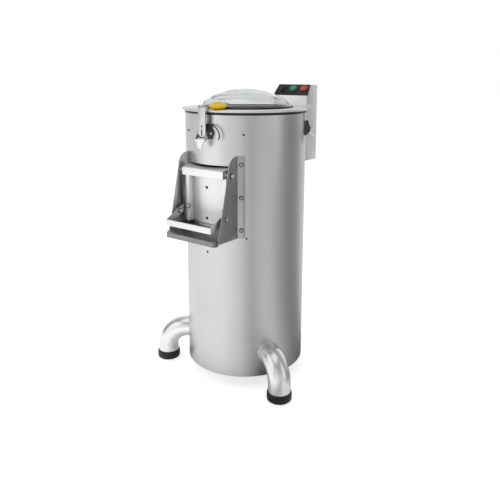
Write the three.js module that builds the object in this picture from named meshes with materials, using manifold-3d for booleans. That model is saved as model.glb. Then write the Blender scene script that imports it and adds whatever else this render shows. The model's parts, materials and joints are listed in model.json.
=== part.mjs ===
// Electric potato peeler: a stainless drum on three bent-tube legs, with a clear-domed lid held by
// three toggle clamps, a discharge chute with a hinged door and a bail in front, and a control box
// behind. Inside, a belt drive turns the abrasive disc under the peeling chamber.
// Millimetres. +Z is up, the chute faces -Y, and the floor is z = 0.
import * as THREE from "three";
import { mergeVertices } from "three/addons/utils/BufferGeometryUtils.js";
import Module from "manifold-3d";

const wasm = await Module();
wasm.setup();

// General fits
const seatGap = 0.3;
const runningGap = 0.6;
const overrun = 5;

// Drum
const drumRadius = 200;
const drumWall = 2;
const drumBottom = 44;
const drumTop = 896;
const drumInner = drumRadius - drumWall;

// Discharge opening in the drum wall, set down from the drum's top edge
const openingDrop = 345;
const openingHeight = 190;
const openingSideRoom = 3;
const openingBottom = drumTop - openingDrop;
const openingTop = openingBottom + openingHeight;

// Chute side plates and their screws
const sideHalfSpan = 103;
const sideSheet = 2;
const sideDrop = 36;
const sideRise = 32;
const sideLowReach = 72;
const sideHighReach = 19;
const sideCornerRadius = 40;
const sideCurveReachShares = [0.45, 0.3];
const sideCurveRiseShares = [0.4, 0.7];
const sideFlangeWidth = 22;
const sideScrewRadius = 4;
const sideScrewHeight = 3;
const sideScrewFlangeShare = 0.6;
const sideScrewShares = [0.1, 0.5, 0.9];
const sideBottom = openingBottom - sideDrop;
const sideTop = openingTop + sideRise;
const sideFrontLow = drumRadius + sideLowReach;
const sideFrontHigh = drumRadius + sideHighReach;

// Chute floor
const floorSheet = 2;
const floorReach = 85;
const floorRearDrop = 2;
const floorFall = 23;
const floorApron = 16;
const floorCornerCut = 9;
const floorRearShare = 0.8;
const floorFront = drumRadius + floorReach;
const floorRearTop = openingBottom - floorRearDrop;
const floorFrontTop = floorRearTop - floorFall;
const floorApronBottom = floorFrontTop - floorApron;

// Door and hood
const doorSideRoom = 20;
const doorSheet = 2;
const doorStandoff = 6;
const doorLowerGap = 2;
const doorStripWidth = 14;
const doorHingeStandoff = 3;
const doorHingeDrop = 25;
const hoodReach = 22;
const hoodRecess = 22;
const hoodWallCut = 1;
const hoodDrop = 12;
const hoodLip = 24;
const hoodRearRise = 9;
const doorPanelSheet = 1.5;
const doorPanelGap = 2;
const doorLinerThickness = 4;
const doorLinerMargin = 6;
const doorLinerRise = 1;
const doorSealRise = 7;
const doorSealDepth = 6;
const doorSealInset = 2;
const doorScrewRadius = 4.5;
const doorScrewHead = 2.5;
const doorScrewShank = 2.5;
const doorScrewDrop = 34;
const doorScrewRise = 17;
const doorHalfWidth = sideHalfSpan - doorSideRoom;
const openingHalfWidth = doorHalfWidth + openingSideRoom;
const doorFront = drumRadius + doorStandoff;
const doorBottom = openingBottom + doorLowerGap;
const doorHingeY = drumRadius + doorHingeStandoff;
const doorHingeZ = openingTop - doorHingeDrop;
const hoodFront = drumRadius + hoodReach;
const hoodRear = drumRadius - hoodRecess;
const hoodLipTop = openingTop - hoodDrop;
const hoodLipBottom = hoodLipTop - hoodLip;
const doorPanelTop = hoodLipBottom - doorPanelGap;
const doorScrewHigh = doorPanelTop - doorScrewDrop;
const doorScrewLow = doorBottom + doorScrewRise;

// Hinge and pivot bolts of door and bail
const boltShankRadius = 4;
const boltHeadRadius = 7;
const boltHeadHeight = 4.5;
const boltWasherRadius = 6.5;
const boltWasherHeight = 2.4;

// Bail
const bailSideRoom = 11;
const bailPivotReach = 29;
const bailPivotRise = 36;
const bailSheet = 3;
const bailStrapReach = 91;
const bailStrapDrop = 17;
const bailStrapWidth = 19;
const bailRearBack = 21;
const bailRearRise = 21;
const bailBarWidth = 22;
const bailRearRadius = 9;
const bailSpan = sideHalfSpan - bailSideRoom;
const bailPivotY = drumRadius + bailPivotReach;
const bailPivotZ = openingBottom + bailPivotRise;
const bailStrapFront = drumRadius + bailStrapReach;
const bailStrapTop = bailPivotZ - bailStrapDrop;
const bailStrapLow = bailStrapTop - bailStrapWidth;
const bailRearY = bailPivotY - bailRearBack;
const bailRearZ = bailPivotZ + bailRearRise;

// Legs and feet
const legCount = 3;
const legTube = 36;
const legWall = 2;
const legReach = 82;
const legStraight = 9;
const legAxisHeight = 123;
const footRadius = 40;
const footHeight = 30;
const footFloor = 8;
const footRounding = 5;
const legBend = legReach - legStraight;
const legCircle = drumRadius + legReach;

// Lid
const gasketHeight = 6.7;
const gasketInset = 6;
const gasketLip = 2;
const lidOverhang = 11;
const lidRingHeight = 7.7;
const lidRingSheet = 3;
const lidRingFlat = 54;
const lidBead = 11;
const lidHinges = 3;
const domeSeat = 3;
const domeHeight = 57;
const domeWall = 3;
const domeFlange = 4;
const domeFlangeHeight = 2;
const domeFullness = 0.8;
const domeSteps = 3;
const domeStepDepth = 2.4;
const domeSealHeight = 1.7;
const domeSealRim = 4.3;
const domeSealWall = 4;
const domeSealInset = 1;
const lidKnobInset = 16.5;
const lidKnobAngle = -1.395;
const lidKnobRadius = 27.5;
const lidKnobFoot = 17;
const lidKnobHeight = 22;
const lidKnobNeck = 6;
const lidKnobRounding = 5;
const gasketInner = drumRadius - gasketInset;
const gasketOuter = drumRadius + gasketLip;
const lidRingOuter = drumRadius + lidOverhang;
const lidOpening = drumRadius - lidRingFlat;
const domeRadius = lidOpening + domeSeat;
const lidKnobCircle = drumRadius - lidKnobInset;

// Lid clamps, set out from the drum's wall and down from its top edge
const strapWidth = 30;
const strapSheet = 3;
const strapPinReach = 5;
const strapPinRise = 20;
const strapPinRadius = 3;
const strapKnuckle = 5;
const strapEndDrop = 68;
const strapHoleDrop = 35;
const strapHoleRadius = 3;
const strapSlotLowDrop = 62;
const strapSlotHighDrop = 46;
const strapSlotHalfWidth = 2.2;
const lugSheet = 3;
const lugDepth = 6;
const lugEdge = 1;
const bracketHalfWidth = 23;
const bracketSheet = 3;
const bracketLowDrop = 74;
const bracketHighDrop = 28;
const leverPinReach = 11;
const leverPinDrop = 56;
const leverPinRadius = 3;
const leverPinHead = 5;
const leverPinHeadLength = 3;
const leverArmInner = 17;
const leverSheet = 2.4;
const leverArmWidth = 10;
const leverTongueReach = 28;
const leverTongueDrop = 74;
const leverTongueLength = 29;
const leverTongueThickness = 3;
const leverTipRadius = 9;
const clipWire = 2;
const clipStandoff = 2;
const clipReach = 33;
const clipDrop = 26;
const clipHook = 20;
const strapPinU = lidRingOuter + strapPinReach;
const strapPinZ = drumTop + strapPinRise;
const strapEnd = drumTop - strapEndDrop;
const strapHoleZ = drumTop - strapHoleDrop;
const strapSlotLow = drumTop - strapSlotLowDrop;
const strapSlotHigh = drumTop - strapSlotHighDrop;
const bracketLow = drumTop - bracketLowDrop;
const bracketHigh = drumTop - bracketHighDrop;
const leverPinU = drumRadius + leverPinReach;
const leverPinZ = drumTop - leverPinDrop;
const leverTongueU = drumRadius + leverTongueReach;
const leverTongueTop = drumTop - leverTongueDrop;
const leverTongueEnd = leverTongueTop - leverTongueLength;

// Control box
const boxHalfWidth = 69;
const boxStandoff = 72;
const boxDepth = 74;
const boxRise = 84;
const boxHeight = 275;
const boxSlopeRun = 29;
const boxSlopeRise = 38;
const boxSaddleDrop = 11;
const boxSheet = 2;
const boxCoverSheet = 1.5;
const panelSheet = 2;
const panelTopHalfWidth = 68;
const panelLowHalfWidth = 75;
const controlPitch = 46;
const controlOffset = 3;
const controlShare = 0.58;
const buttonRadius = 10;
const buttonRise = 3.5;
const buttonEdge = 2;
const buttonStretchShare = 1.35;
const buttonStem = 5;
const buttonStemLength = 16;
const buttonTravel = 3;
const bezelRadius = 14;
const bezelHeight = 3;
const knobRadius = 13;
const knobHeight = 8;
const knobSkirt = 3;
const knobTaper = 2;
const knobGripHalfWidth = 3.5;
const knobStem = 4;
const glandX = 30;
const glandRadius = 11;
const glandNutHeight = 8;
const glandTailRadius = 8;
const glandTailLength = 12;
const glandTaperShare = 0.8;
const glandBore = 4.5;
const glandThread = 6.5;
const boxFront = drumRadius + boxStandoff;
const boxBack = boxFront + boxDepth;
const boxTopFront = boxFront + boxSlopeRun;
const boxTop = drumTop + boxRise;
const boxBottom = boxTop - boxHeight;
const boxSlopeLow = boxTop - boxSlopeRise;
const boxSaddleTop = drumTop - boxSaddleDrop;

// Chamber floor, disc and liner
const bulkheadDrop = 50;
const bulkheadSheet = 3;
const bulkheadRim = 18;
const linerThickness = 6;
const linerLowDrop = 13;
const linerTopGap = 6;
const linerMouthMargin = 2;
const discDrop = 23;
const discRoom = 5.7;
const discSheet = 8;
const discRidge = 9;
const discRidgeHalfWidth = 9;
const discRidgeCount = 3;
const discRidgeShares = [0.5, 0.7];
const discHubRadius = 32;
const discHubDrop = 20;
const bulkheadTop = openingBottom - bulkheadDrop;
const linerLow = openingBottom - linerLowDrop;
const linerHigh = drumTop - linerTopGap;
const discLow = openingBottom - discDrop;
const discRadius = drumInner - linerThickness - seatGap - discRoom;

// Drive under the chamber
const edgeEasing = 1;
const shaftRadius = 15;
const shaftLow = 132;
const housingRadius = 38;
const housingFlange = 70;
const housingFlangeHeight = 6;
const housingShare = 0.5;
const bearingRadius = 26;
const bearingHeight = 15;
const sealHeight = 8;
const bearingInset = 10;
const pulleyLow = 140;
const pulleyHeight = 20;
const pulleyRoom = 16;
const motorPulley = 22;
const beltHeight = 9;
const beltThickness = 7;
const grooveClear = 0.5;
const motorHousingRoom = 12;
const motorWallRoom = 32;
const motorFin = 5;
const motorFins = 8;
const motorShaft = 10;
const motorShaftDrop = 2;
const motorPlateTop = 184;
const motorPlateSheet = 4;
const motorPlateFront = 34;
const motorPlateHalfWidth = 150;
const motorHeightShare = 0.52;
const cowlHeight = 34;
const cowlStep = 3;
const coverRim = 14;
const coverSheet = 2;
const coverSlots = 6;
const coverSlotInner = 90;
const coverSlotOuter = 150;
const coverSlotHalfWidth = 6;
const driveHeight = bulkheadTop - motorPlateTop;
const housingLow = bulkheadTop - driveHeight * housingShare;
const motorHeight = driveHeight * motorHeightShare;
const motorRadius = (drumInner - motorWallRoom - housingRadius - motorHousingRoom) / 2;
const motorY = housingRadius + motorHousingRoom + motorRadius;
const drivenPulley = motorY - motorPulley - pulleyRoom;
const coverTop = drumBottom + coverRim;

// Water connections at the back
const drainRadius = 16;
const drainWall = 2;
const drainRise = 18;
const drainReach = 46;
const drainDrop = 42;
const drainBend = 24;
const inletAngle = 2.3;
const inletDrop = 48;
const inletRadius = 9;
const inletBore = 6;
const inletLength = 34;
const inletNut = 14;
const inletNutHeight = 7;
const inletBarbs = 2;
const inletBarbRise = 2;
const inletBarbShare = 0.2;
const drainZ = bulkheadTop + drainRise;
const inletZ = drumTop - inletDrop;

// Facet counts
const drumSides = 48;
const domeSides = 32;
const domeRings = 5;
const roundSides = 16;
const smallSides = 12;
const tinySides = 8;
const fewSides = 6;
const hexSides = 6;
const bendSteps = 6;

const quarterTurn = Math.PI / 2;
const halfTurn = Math.PI;
const fullTurn = 2 * Math.PI;
const quarterDegrees = THREE.MathUtils.radToDeg(quarterTurn);
const evenly = (count, first) => Array.from({ length: count }, (_, i) => first + (i * fullTurn) / count);
const legAngles = evenly(legCount, -quarterTurn / legCount);
const clampAngles = evenly(lidHinges, -quarterTurn);

const steel = new THREE.MeshStandardMaterial({ color: 0xb9bab8, roughness: 0.35, metalness: 0.9 });
const brightSteel = new THREE.MeshStandardMaterial({ color: 0xd8d9d8, roughness: 0.22, metalness: 0.95 });
const darkSteel = new THREE.MeshStandardMaterial({ color: 0x3a3b3c, roughness: 0.45, metalness: 0.7 });
const castMetal = new THREE.MeshStandardMaterial({ color: 0x6f7377, roughness: 0.6, metalness: 0.6 });
const rubber = new THREE.MeshStandardMaterial({ color: 0x161616, roughness: 0.8, metalness: 0 });
const abrasive = new THREE.MeshStandardMaterial({ color: 0x3c3a37, roughness: 0.95, metalness: 0 });
const clearPlastic = new THREE.MeshStandardMaterial({ color: 0xd9dcdc, roughness: 0.1, metalness: 0 });
const blackPlastic = new THREE.MeshStandardMaterial({ color: 0x141414, roughness: 0.4, metalness: 0 });
const greenPlastic = new THREE.MeshStandardMaterial({ color: 0x1c8a5a, roughness: 0.3, metalness: 0 });
const redPlastic = new THREE.MeshStandardMaterial({ color: 0xc9392b, roughness: 0.3, metalness: 0 });
const darkGreenPlastic = new THREE.MeshStandardMaterial({ color: 0x12402c, roughness: 0.35, metalness: 0 });
const darkRedPlastic = new THREE.MeshStandardMaterial({ color: 0x5a1712, roughness: 0.35, metalness: 0 });
const yellowPlastic = new THREE.MeshStandardMaterial({ color: 0xf2b51c, roughness: 0.35, metalness: 0 });
const motorPaint = new THREE.MeshStandardMaterial({ color: 0x4a5560, roughness: 0.5, metalness: 0.3 });

// Bodies of a geometry as a solid that can be cut, and back
function bare(geometry) {
  geometry.deleteAttribute("normal");
  geometry.deleteAttribute("uv");
  return mergeVertices(geometry);
}

function signedVolume(geometry) {
  const place = geometry.getAttribute("position");
  const index = geometry.getIndex();
  const corners = [new THREE.Vector3(), new THREE.Vector3(), new THREE.Vector3()];
  let sum = 0;
  for (let i = 0; i < index.count; i += corners.length) {
    corners.forEach((corner, k) => corner.fromBufferAttribute(place, index.getX(i + k)));
    sum += corners[0].dot(corners[1].cross(corners[2]));
  }
  return sum;
}

function outward(geometry) {
  const merged = bare(geometry);
  if (signedVolume(merged) < 0) {
    const index = merged.getIndex();
    for (let i = 0; i < index.count; i += 3) {
      const first = index.getX(i);
      index.setX(i, index.getX(i + 1));
      index.setX(i + 1, first);
    }
  }
  return merged;
}

function solid(geometry) {
  const merged = outward(geometry);
  return new wasm.Manifold(
    new wasm.Mesh({
      numProp: 3,
      vertProperties: new Float32Array(merged.getAttribute("position").array),
      triVerts: new Uint32Array(merged.getIndex().array),
    }),
  );
}

function surface(manifold) {
  const mesh = manifold.getMesh();
  const geometry = new THREE.BufferGeometry();
  geometry.setAttribute("position", new THREE.BufferAttribute(mesh.vertProperties, mesh.numProp));
  geometry.setIndex(new THREE.BufferAttribute(mesh.triVerts, 1));
  return geometry;
}

function joined(...solids) {
  return solids.reduce((all, next) => all.add(next));
}

// Basic solids: turned about Z, boxes, and plates in each plane
function turned(profile, sides = roundSides) {
  const points = profile.map(([radius, height]) => new THREE.Vector2(radius, height));
  return new THREE.LatheGeometry(points, sides).rotateX(quarterTurn);
}

// The corner radius of a many-sided bore whose flats clear a round bar
function boreFor(radius, sides) {
  return radius / Math.cos(halfTurn / sides);
}

function turnedRing(outer, inner, low, high, sides = roundSides) {
  return turned([[inner, low], [outer, low], [outer, high], [inner, high], [inner, low]], sides);
}

function turnedDisc(radius, low, high, sides = roundSides) {
  return turned([[0, low], [radius, low], [radius, high], [0, high]], sides);
}

function block(x0, x1, y0, y1, z0, z1) {
  const box = new THREE.BoxGeometry(x1 - x0, y1 - y0, z1 - z0);
  return box.translate((x0 + x1) / 2, (y0 + y1) / 2, (z0 + z1) / 2);
}

function basis(first, second, third) {
  return new THREE.Matrix4().makeBasis(first, second, third);
}

const alongX = new THREE.Vector3(1, 0, 0);
const alongY = new THREE.Vector3(0, 1, 0);
const alongZ = new THREE.Vector3(0, 0, 1);
const backY = new THREE.Vector3(0, -1, 0);

// An outline in Y and Z, pushed along X from x0 to x1
function sidePlate(outline, x0, x1, curveSegments = tinySides) {
  const geometry = new THREE.ExtrudeGeometry(outline, { depth: x1 - x0, bevelEnabled: false, curveSegments });
  return geometry.applyMatrix4(basis(alongY, alongZ, alongX)).translate(x0, 0, 0);
}

// An outline in X and Z, pushed along Y from y0 to y1
function frontPlate(outline, y0, y1, curveSegments = tinySides) {
  const geometry = new THREE.ExtrudeGeometry(outline, { depth: y1 - y0, bevelEnabled: false, curveSegments });
  return geometry.applyMatrix4(basis(alongX, alongZ, backY)).translate(0, y1, 0);
}

// An outline in X and Y, pushed up from z0 to z1
function flatPlate(outline, z0, z1, curveSegments = smallSides) {
  const geometry = new THREE.ExtrudeGeometry(outline, { depth: z1 - z0, bevelEnabled: false, curveSegments });
  return geometry.translate(0, 0, z0);
}

function polygon(points) {
  return new THREE.Shape(points.map(([a, b]) => new THREE.Vector2(a, b)));
}

// A round bar along X between two faces
function crossBar(radius, x0, x1, y, z, sides = tinySides) {
  return turnedDisc(radius, x0, x1, sides).rotateY(quarterTurn).translate(0, y, z);
}

const boltBore = boreFor(boltShankRadius + seatGap, tinySides);

function drumCut(radius, low, high) {
  return solid(turnedDisc(radius, low, high, drumSides));
}

function piece(name, geometry, material, parent) {
  const shown = geometry.getIndex() ? geometry : mergeVertices(geometry);
  shown.computeVertexNormals();
  const mesh = new THREE.Mesh(shown, material);
  mesh.name = name;
  parent.add(mesh);
  return mesh;
}

// A path made of a straight run, a quarter bend and a second straight run, in the plane of U and Z
class BentPath extends THREE.Curve {
  constructor(startU, bendU, axisZ, bend, endZ) {
    super();
    Object.assign(this, { startU, bendU, axisZ, bend, endZ });
    this.first = bendU - startU;
    this.arc = bend * quarterTurn;
    this.last = axisZ - bend - endZ;
  }

  getPoint(t, target = new THREE.Vector3()) {
    const run = t * (this.first + this.arc + this.last);
    if (run < this.first) return target.set(this.startU + run, 0, this.axisZ);
    if (run < this.first + this.arc) {
      const turn = (run - this.first) / this.bend;
      const across = this.bendU + this.bend * Math.sin(turn);
      return target.set(across, 0, this.axisZ - this.bend * (1 - Math.cos(turn)));
    }
    const down = run - this.first - this.arc;
    return target.set(this.bendU + this.bend, 0, this.axisZ - this.bend - down);
  }
}

function tubeAlong(path, radius, steps, sides) {
  const section = new THREE.Shape().absarc(0, 0, radius, 0, fullTurn, false);
  const settings = { extrudePath: path, steps, curveSegments: sides, bevelEnabled: false };
  return new THREE.ExtrudeGeometry(section, settings);
}

const machine = new THREE.Group();

// Drum shell with its discharge opening, the inlet's hole and the drain elbow welded to its back
function drumShell() {
  const wall = solid(turnedRing(drumRadius, drumInner, drumBottom, drumTop, drumSides));
  const half = openingHalfWidth;
  const mouth = block(-half, half, -drumRadius - overrun, 0, openingBottom, openingTop);
  const inlet = turnedDisc(inletRadius + seatGap, 0, drumRadius + overrun, smallSides).rotateY(quarterTurn);
  inlet.rotateZ(inletAngle).translate(0, 0, inletZ);
  const drain = drainElbow();
  const shell = wall.add(drain.outer).subtract(drain.inner).subtract(solid(mouth)).subtract(solid(inlet));
  const hollow = drumCut(drumInner - seatGap, 0, drumTop + overrun);
  piece("drum_shell", surface(shell.subtract(hollow)), steel, machine);
}

function drainElbow() {
  const bendU = drumRadius + drainReach - drainBend;
  const endZ = drainZ - drainDrop;
  const path = new BentPath(drumInner - drainWall, bendU, drainZ, drainBend, endZ);
  const bore = new BentPath(drumInner - overrun, bendU, drainZ, drainBend, endZ - overrun);
  const back = [0, 0, quarterDegrees];
  const outer = solid(tubeAlong(path, drainRadius, bendSteps, tinySides / 2)).rotate(back);
  const inner = solid(tubeAlong(bore, drainRadius - drainWall, bendSteps, tinySides / 2)).rotate(back);
  return { outer, inner };
}

function chamberLiner() {
  const outer = drumInner - seatGap;
  const inner = outer - linerThickness;
  const wall = solid(turnedRing(outer, inner, linerLow, linerHigh, drumSides));
  const half = openingHalfWidth + linerMouthMargin;
  const mouth = block(-half, half, -drumRadius, 0, linerLow - overrun, openingTop + linerMouthMargin);
  piece("chamber_liner", surface(wall.subtract(solid(mouth))), abrasive, machine);
}

function bulkhead() {
  const edge = drumInner - seatGap;
  const hole = shaftRadius + runningGap;
  const low = bulkheadTop - bulkheadRim;
  const sheet = bulkheadTop - bulkheadSheet;
  const profile = [
    [hole, sheet],
    [edge - bulkheadSheet, sheet],
    [edge - bulkheadSheet, low],
    [edge, low],
    [edge, bulkheadTop],
    [hole, bulkheadTop],
    [hole, sheet],
  ];
  piece("chamber_floor", turned(profile, drumSides), steel, machine);
}

function bottomCover() {
  const edge = drumInner - seatGap;
  const low = drumBottom + coverSheet;
  const profile = [
    [0, low],
    [edge, low],
    [edge, coverTop],
    [edge - coverSheet, coverTop],
    [edge - coverSheet, low + coverSheet],
    [0, low + coverSheet],
  ];
  let cover = solid(turned(profile, drumSides));
  for (let i = 0; i < coverSlots; i += 1) {
    const half = coverSlotHalfWidth;
    const slot = block(coverSlotInner, coverSlotOuter, -half, half, drumBottom, coverTop);
    cover = cover.subtract(solid(slot.rotateZ((i * fullTurn) / coverSlots)));
  }
  piece("bottom_cover", surface(cover), steel, machine);
}

// Legs: a bent tube from the drum wall down into a rubber cup
function legs() {
  const names = ["front_right", "rear", "front_left"];
  const start = drumRadius - overrun;
  const bendU = legCircle - legBend;
  const path = new BentPath(start, bendU, legAxisHeight, legBend, footFloor + seatGap);
  const bore = new BentPath(start - overrun, bendU, legAxisHeight, legBend, footFloor - overrun);
  legAngles.forEach((angle, i) => {
    const outer = solid(tubeAlong(path, legTube, bendSteps, tinySides));
    const inner = solid(tubeAlong(bore, legTube - legWall, bendSteps, fewSides));
    const leg = outer.subtract(inner).subtract(drumCut(drumRadius + seatGap, 0, drumTop));
    const stand = piece(`leg_${names[i]}`, surface(leg), brightSteel, machine);
    stand.rotation.z = angle;
    const cup = piece(`foot_${names[i]}`, footCup(), rubber, machine);
    cup.position.set(legCircle * Math.cos(angle), legCircle * Math.sin(angle), 0);
  });
}

function footCup() {
  const bore = boreFor(legTube + seatGap, roundSides);
  return turned(
    [
      [0, 0],
      [footRadius - footRounding, 0],
      [footRadius, footRounding],
      [footRadius, footHeight - footRounding / 2],
      [footRadius - footRounding / 2, footHeight],
      [bore, footHeight],
      [bore, footFloor],
      [0, footFloor],
    ],
    roundSides,
  );
}

// Chute side plate: outline in Y and Z, with its flange bent out along the drum
function sideOutline() {
  const wallY = -Math.sqrt(drumRadius ** 2 - sideHalfSpan ** 2) + overrun;
  const arcY = -sideFrontHigh + sideCornerRadius;
  const arcZ = sideTop - sideCornerRadius;
  const rise = arcZ - sideBottom;
  const reach = sideFrontLow - sideFrontHigh;
  const outline = new THREE.Shape();
  outline.moveTo(wallY, sideBottom);
  outline.lineTo(-sideFrontLow, sideBottom);
  const [lowReachShare, highReachShare] = sideCurveReachShares;
  const [lowRiseShare, highRiseShare] = sideCurveRiseShares;
  outline.bezierCurveTo(
    -sideFrontLow + reach * lowReachShare,
    sideBottom + rise * lowRiseShare,
    -sideFrontHigh - reach * highReachShare,
    sideBottom + rise * highRiseShare,
    -sideFrontHigh,
    arcZ,
  );
  outline.absarc(arcY, arcZ, sideCornerRadius, halfTurn, quarterTurn, true);
  outline.lineTo(wallY, sideTop);
  return outline;
}

function screwOnDrum(angle, height) {
  const base = drumRadius + sideSheet;
  const head = turnedDisc(sideScrewRadius, base, base + sideScrewHeight + seatGap, fewSides);
  return solid(head.rotateY(quarterTurn).rotateZ(angle).translate(0, 0, height));
}

function chuteSide(name, sign) {
  const inner = sideHalfSpan - sideSheet;
  const plate = solid(sidePlate(sideOutline(), inner, sideHalfSpan, fewSides));
  const hinge = crossBar(boltBore, inner - overrun, sideHalfSpan + overrun, -doorHingeY, doorHingeZ);
  const pivot = crossBar(boltBore, inner - overrun, sideHalfSpan + overrun, -bailPivotY, bailPivotZ);
  const seat = drumRadius + seatGap;
  const startAngle = -Math.acos(inner / seat);
  const endAngle = startAngle + (sideFlangeWidth + sideSheet) / seat;
  const strip = new THREE.Shape();
  strip.absarc(0, 0, seat + sideSheet, startAngle, endAngle, false);
  strip.absarc(0, 0, seat, endAngle, startAngle, true);
  const flange = solid(flatPlate(strip, sideBottom, sideTop, fewSides / 2));
  const cylinder = drumCut(seat, 0, drumTop);
  let side = plate.subtract(solid(hinge)).subtract(solid(pivot)).subtract(cylinder).add(flange);
  const screwAngle = startAngle + (sideFlangeWidth * sideScrewFlangeShare) / seat;
  const rise = sideTop - sideBottom;
  sideScrewShares.forEach((share) => {
    side = side.add(screwOnDrum(screwAngle, sideBottom + rise * share));
  });
  const geometry = surface(sign > 0 ? side : side.mirror([1, 0, 0]));
  piece(name, geometry, steel, machine);
}

function chuteFloor() {
  const half = sideHalfSpan - sideSheet - seatGap;
  const rearY = -drumRadius * floorRearShare;
  const cornerY = Math.sqrt(drumRadius ** 2 - sideHalfSpan ** 2);
  const fall = (floorRearTop - floorFrontTop) / (floorFront - cornerY);
  const topAt = (y) => floorFrontTop + fall * (y + floorFront);
  const side = polygon([
    [rearY, topAt(rearY)],
    [-floorFront, floorFrontTop],
    [-floorFront, floorApronBottom],
    [-floorFront + floorSheet, floorApronBottom],
    [-floorFront + floorSheet, floorFrontTop - floorSheet],
    [rearY, topAt(rearY) - floorSheet],
  ]);
  const plan = polygon([
    [-half, -drumRadius / 2],
    [-half, -floorFront + floorCornerCut],
    [-half + floorCornerCut, -floorFront - overrun],
    [half - floorCornerCut, -floorFront - overrun],
    [half, -floorFront + floorCornerCut],
    [half, -drumRadius / 2],
  ]);
  const floor = solid(sidePlate(side, -half, half))
    .intersect(solid(flatPlate(plan, 0, drumTop)))
    .subtract(drumCut(drumRadius + seatGap, 0, drumTop));
  piece("chute_floor", surface(floor), steel, machine);
}

// A bolt through the chute side: head outside, shank inwards to its washer or end
function crossBolt(name, sign, y, z, shankEnd, washerStart) {
  const outside = sideHalfSpan + seatGap;
  let bolt = solid(crossBar(boltShankRadius, shankEnd, outside + seatGap, -y, z));
  bolt = bolt.add(solid(crossBar(boltHeadRadius, outside, outside + boltHeadHeight, -y, z, hexSides)));
  if (washerStart) {
    bolt = bolt.add(solid(crossBar(boltWasherRadius, washerStart - boltWasherHeight, washerStart, -y, z)));
  }
  const geometry = surface(sign > 0 ? bolt : bolt.mirror([1, 0, 0]));
  piece(name, geometry, brightSteel, machine);
}

// Door frame: two Z-shaped side channels under a hood with a lip, one welded piece
function doorFrame(door) {
  const sheet = doorSheet;
  const stripIn = doorHalfWidth - doorStripWidth;
  const returnBack = Math.sqrt(drumRadius ** 2 - stripIn ** 2);
  const channel = (sign) => {
    const top = hoodLipBottom + sheet;
    const strip = block(stripIn, doorHalfWidth, -doorFront, -doorFront + sheet, doorBottom, top);
    const back = block(stripIn, stripIn + sheet, -doorFront, -returnBack, doorBottom, top);
    const both = solid(strip).add(solid(back));
    return sign > 0 ? both : both.mirror([1, 0, 0]);
  };
  const hoodSide = polygon([
    [-hoodFront, hoodLipBottom],
    [-hoodFront + sheet, hoodLipBottom],
    [-hoodFront + sheet, hoodLipTop - sheet],
    [-hoodRear, hoodLipTop + hoodRearRise - sheet],
    [-hoodRear, hoodLipTop + hoodRearRise],
    [-hoodFront, hoodLipTop],
  ]);
  const endSide = polygon([
    [-hoodFront, hoodLipBottom],
    [-hoodRear, hoodLipBottom],
    [-hoodRear, hoodLipTop + hoodRearRise],
    [-hoodFront, hoodLipTop],
  ]);
  const hood = solid(sidePlate(hoodSide, -doorHalfWidth, doorHalfWidth));
  const hole = solid(crossBar(boltBore, -sideHalfSpan, sideHalfSpan, -doorHingeY, doorHingeZ));
  const endPlates = solid(sidePlate(endSide, doorHalfWidth - sheet, doorHalfWidth)).add(
    solid(sidePlate(endSide, -doorHalfWidth, -doorHalfWidth + sheet)),
  );
  const half = doorHalfWidth;
  const web = solid(block(-half, half, -doorFront, -doorFront + sheet, hoodLipBottom, hoodLipTop));
  const frame = joined(channel(1), channel(-1), hood, endPlates, web)
    .subtract(hole)
    .subtract(drumCut(drumRadius - hoodWallCut, doorPanelTop, drumTop));
  piece("door_frame", surface(frame), brightSteel, door);
}

function curvedBand(outer, inner, halfWidth, low, high, sides = drumSides) {
  const band = solid(turnedRing(outer, inner, low, high, sides));
  return band.intersect(solid(block(-halfWidth, halfWidth, -drumRadius - overrun, 0, low, high)));
}

function doorScrewHole(z) {
  const hole = turnedDisc(doorScrewShank + seatGap, 0, drumRadius + overrun, tinySides);
  return solid(hole.rotateX(quarterTurn).translate(0, 0, z));
}

function doorPanel(door) {
  const half = doorHalfWidth - doorStripWidth - seatGap;
  const inner = drumRadius - doorPanelSheet;
  let panel = curvedBand(drumRadius, inner, half, doorBottom, doorPanelTop);
  [doorScrewHigh, doorScrewLow].forEach((z) => {
    panel = panel.subtract(doorScrewHole(z));
  });
  piece("door_panel", surface(panel), brightSteel, door);
}

function doorLiner(door) {
  const outer = drumRadius - doorPanelSheet - seatGap;
  const low = doorBottom + doorSealRise + seatGap + doorLinerRise;
  const half = doorHalfWidth - doorStripWidth - doorLinerMargin;
  let pad = curvedBand(outer, outer - doorLinerThickness, half, low, doorPanelTop - doorLinerMargin);
  [doorScrewHigh, doorScrewLow].forEach((z) => {
    pad = pad.subtract(doorScrewHole(z));
  });
  piece("door_liner", surface(pad), abrasive, door);
}

// Rubber seal: side strips behind the door's channels, and a bar along the lower edge
function doorSeal(door) {
  const inside = doorHalfWidth - doorStripWidth + doorSheet + seatGap;
  const outside = openingHalfWidth - doorSealInset;
  const inner = drumRadius - doorPanelSheet - seatGap - doorSealDepth;
  const front = -doorFront + doorSheet + seatGap;
  const strip = block(inside, outside, front, 0, doorBottom, doorPanelTop - doorLinerMargin);
  const strips = solid(strip).add(solid(strip.clone()).mirror([1, 0, 0]));
  const core = drumCut(inner, 0, drumTop);
  const bar = curvedBand(inner + doorSealDepth, inner, outside, doorBottom, doorBottom + doorSealRise);
  piece("door_seal", surface(strips.subtract(core).add(bar)), rubber, door);
}

function doorScrew(name, z, door) {
  const seat = drumRadius + seatGap;
  const head = turnedDisc(doorScrewRadius, seat, seat + doorScrewHead, tinySides);
  const inside = drumRadius - doorPanelSheet - seatGap - doorLinerThickness;
  const shank = turnedDisc(doorScrewShank, inside, drumRadius + 2 * seatGap, tinySides);
  const screw = solid(head).add(solid(shank));
  piece(name, surface(screw).rotateX(quarterTurn).translate(0, 0, z), darkSteel, door);
}

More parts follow.
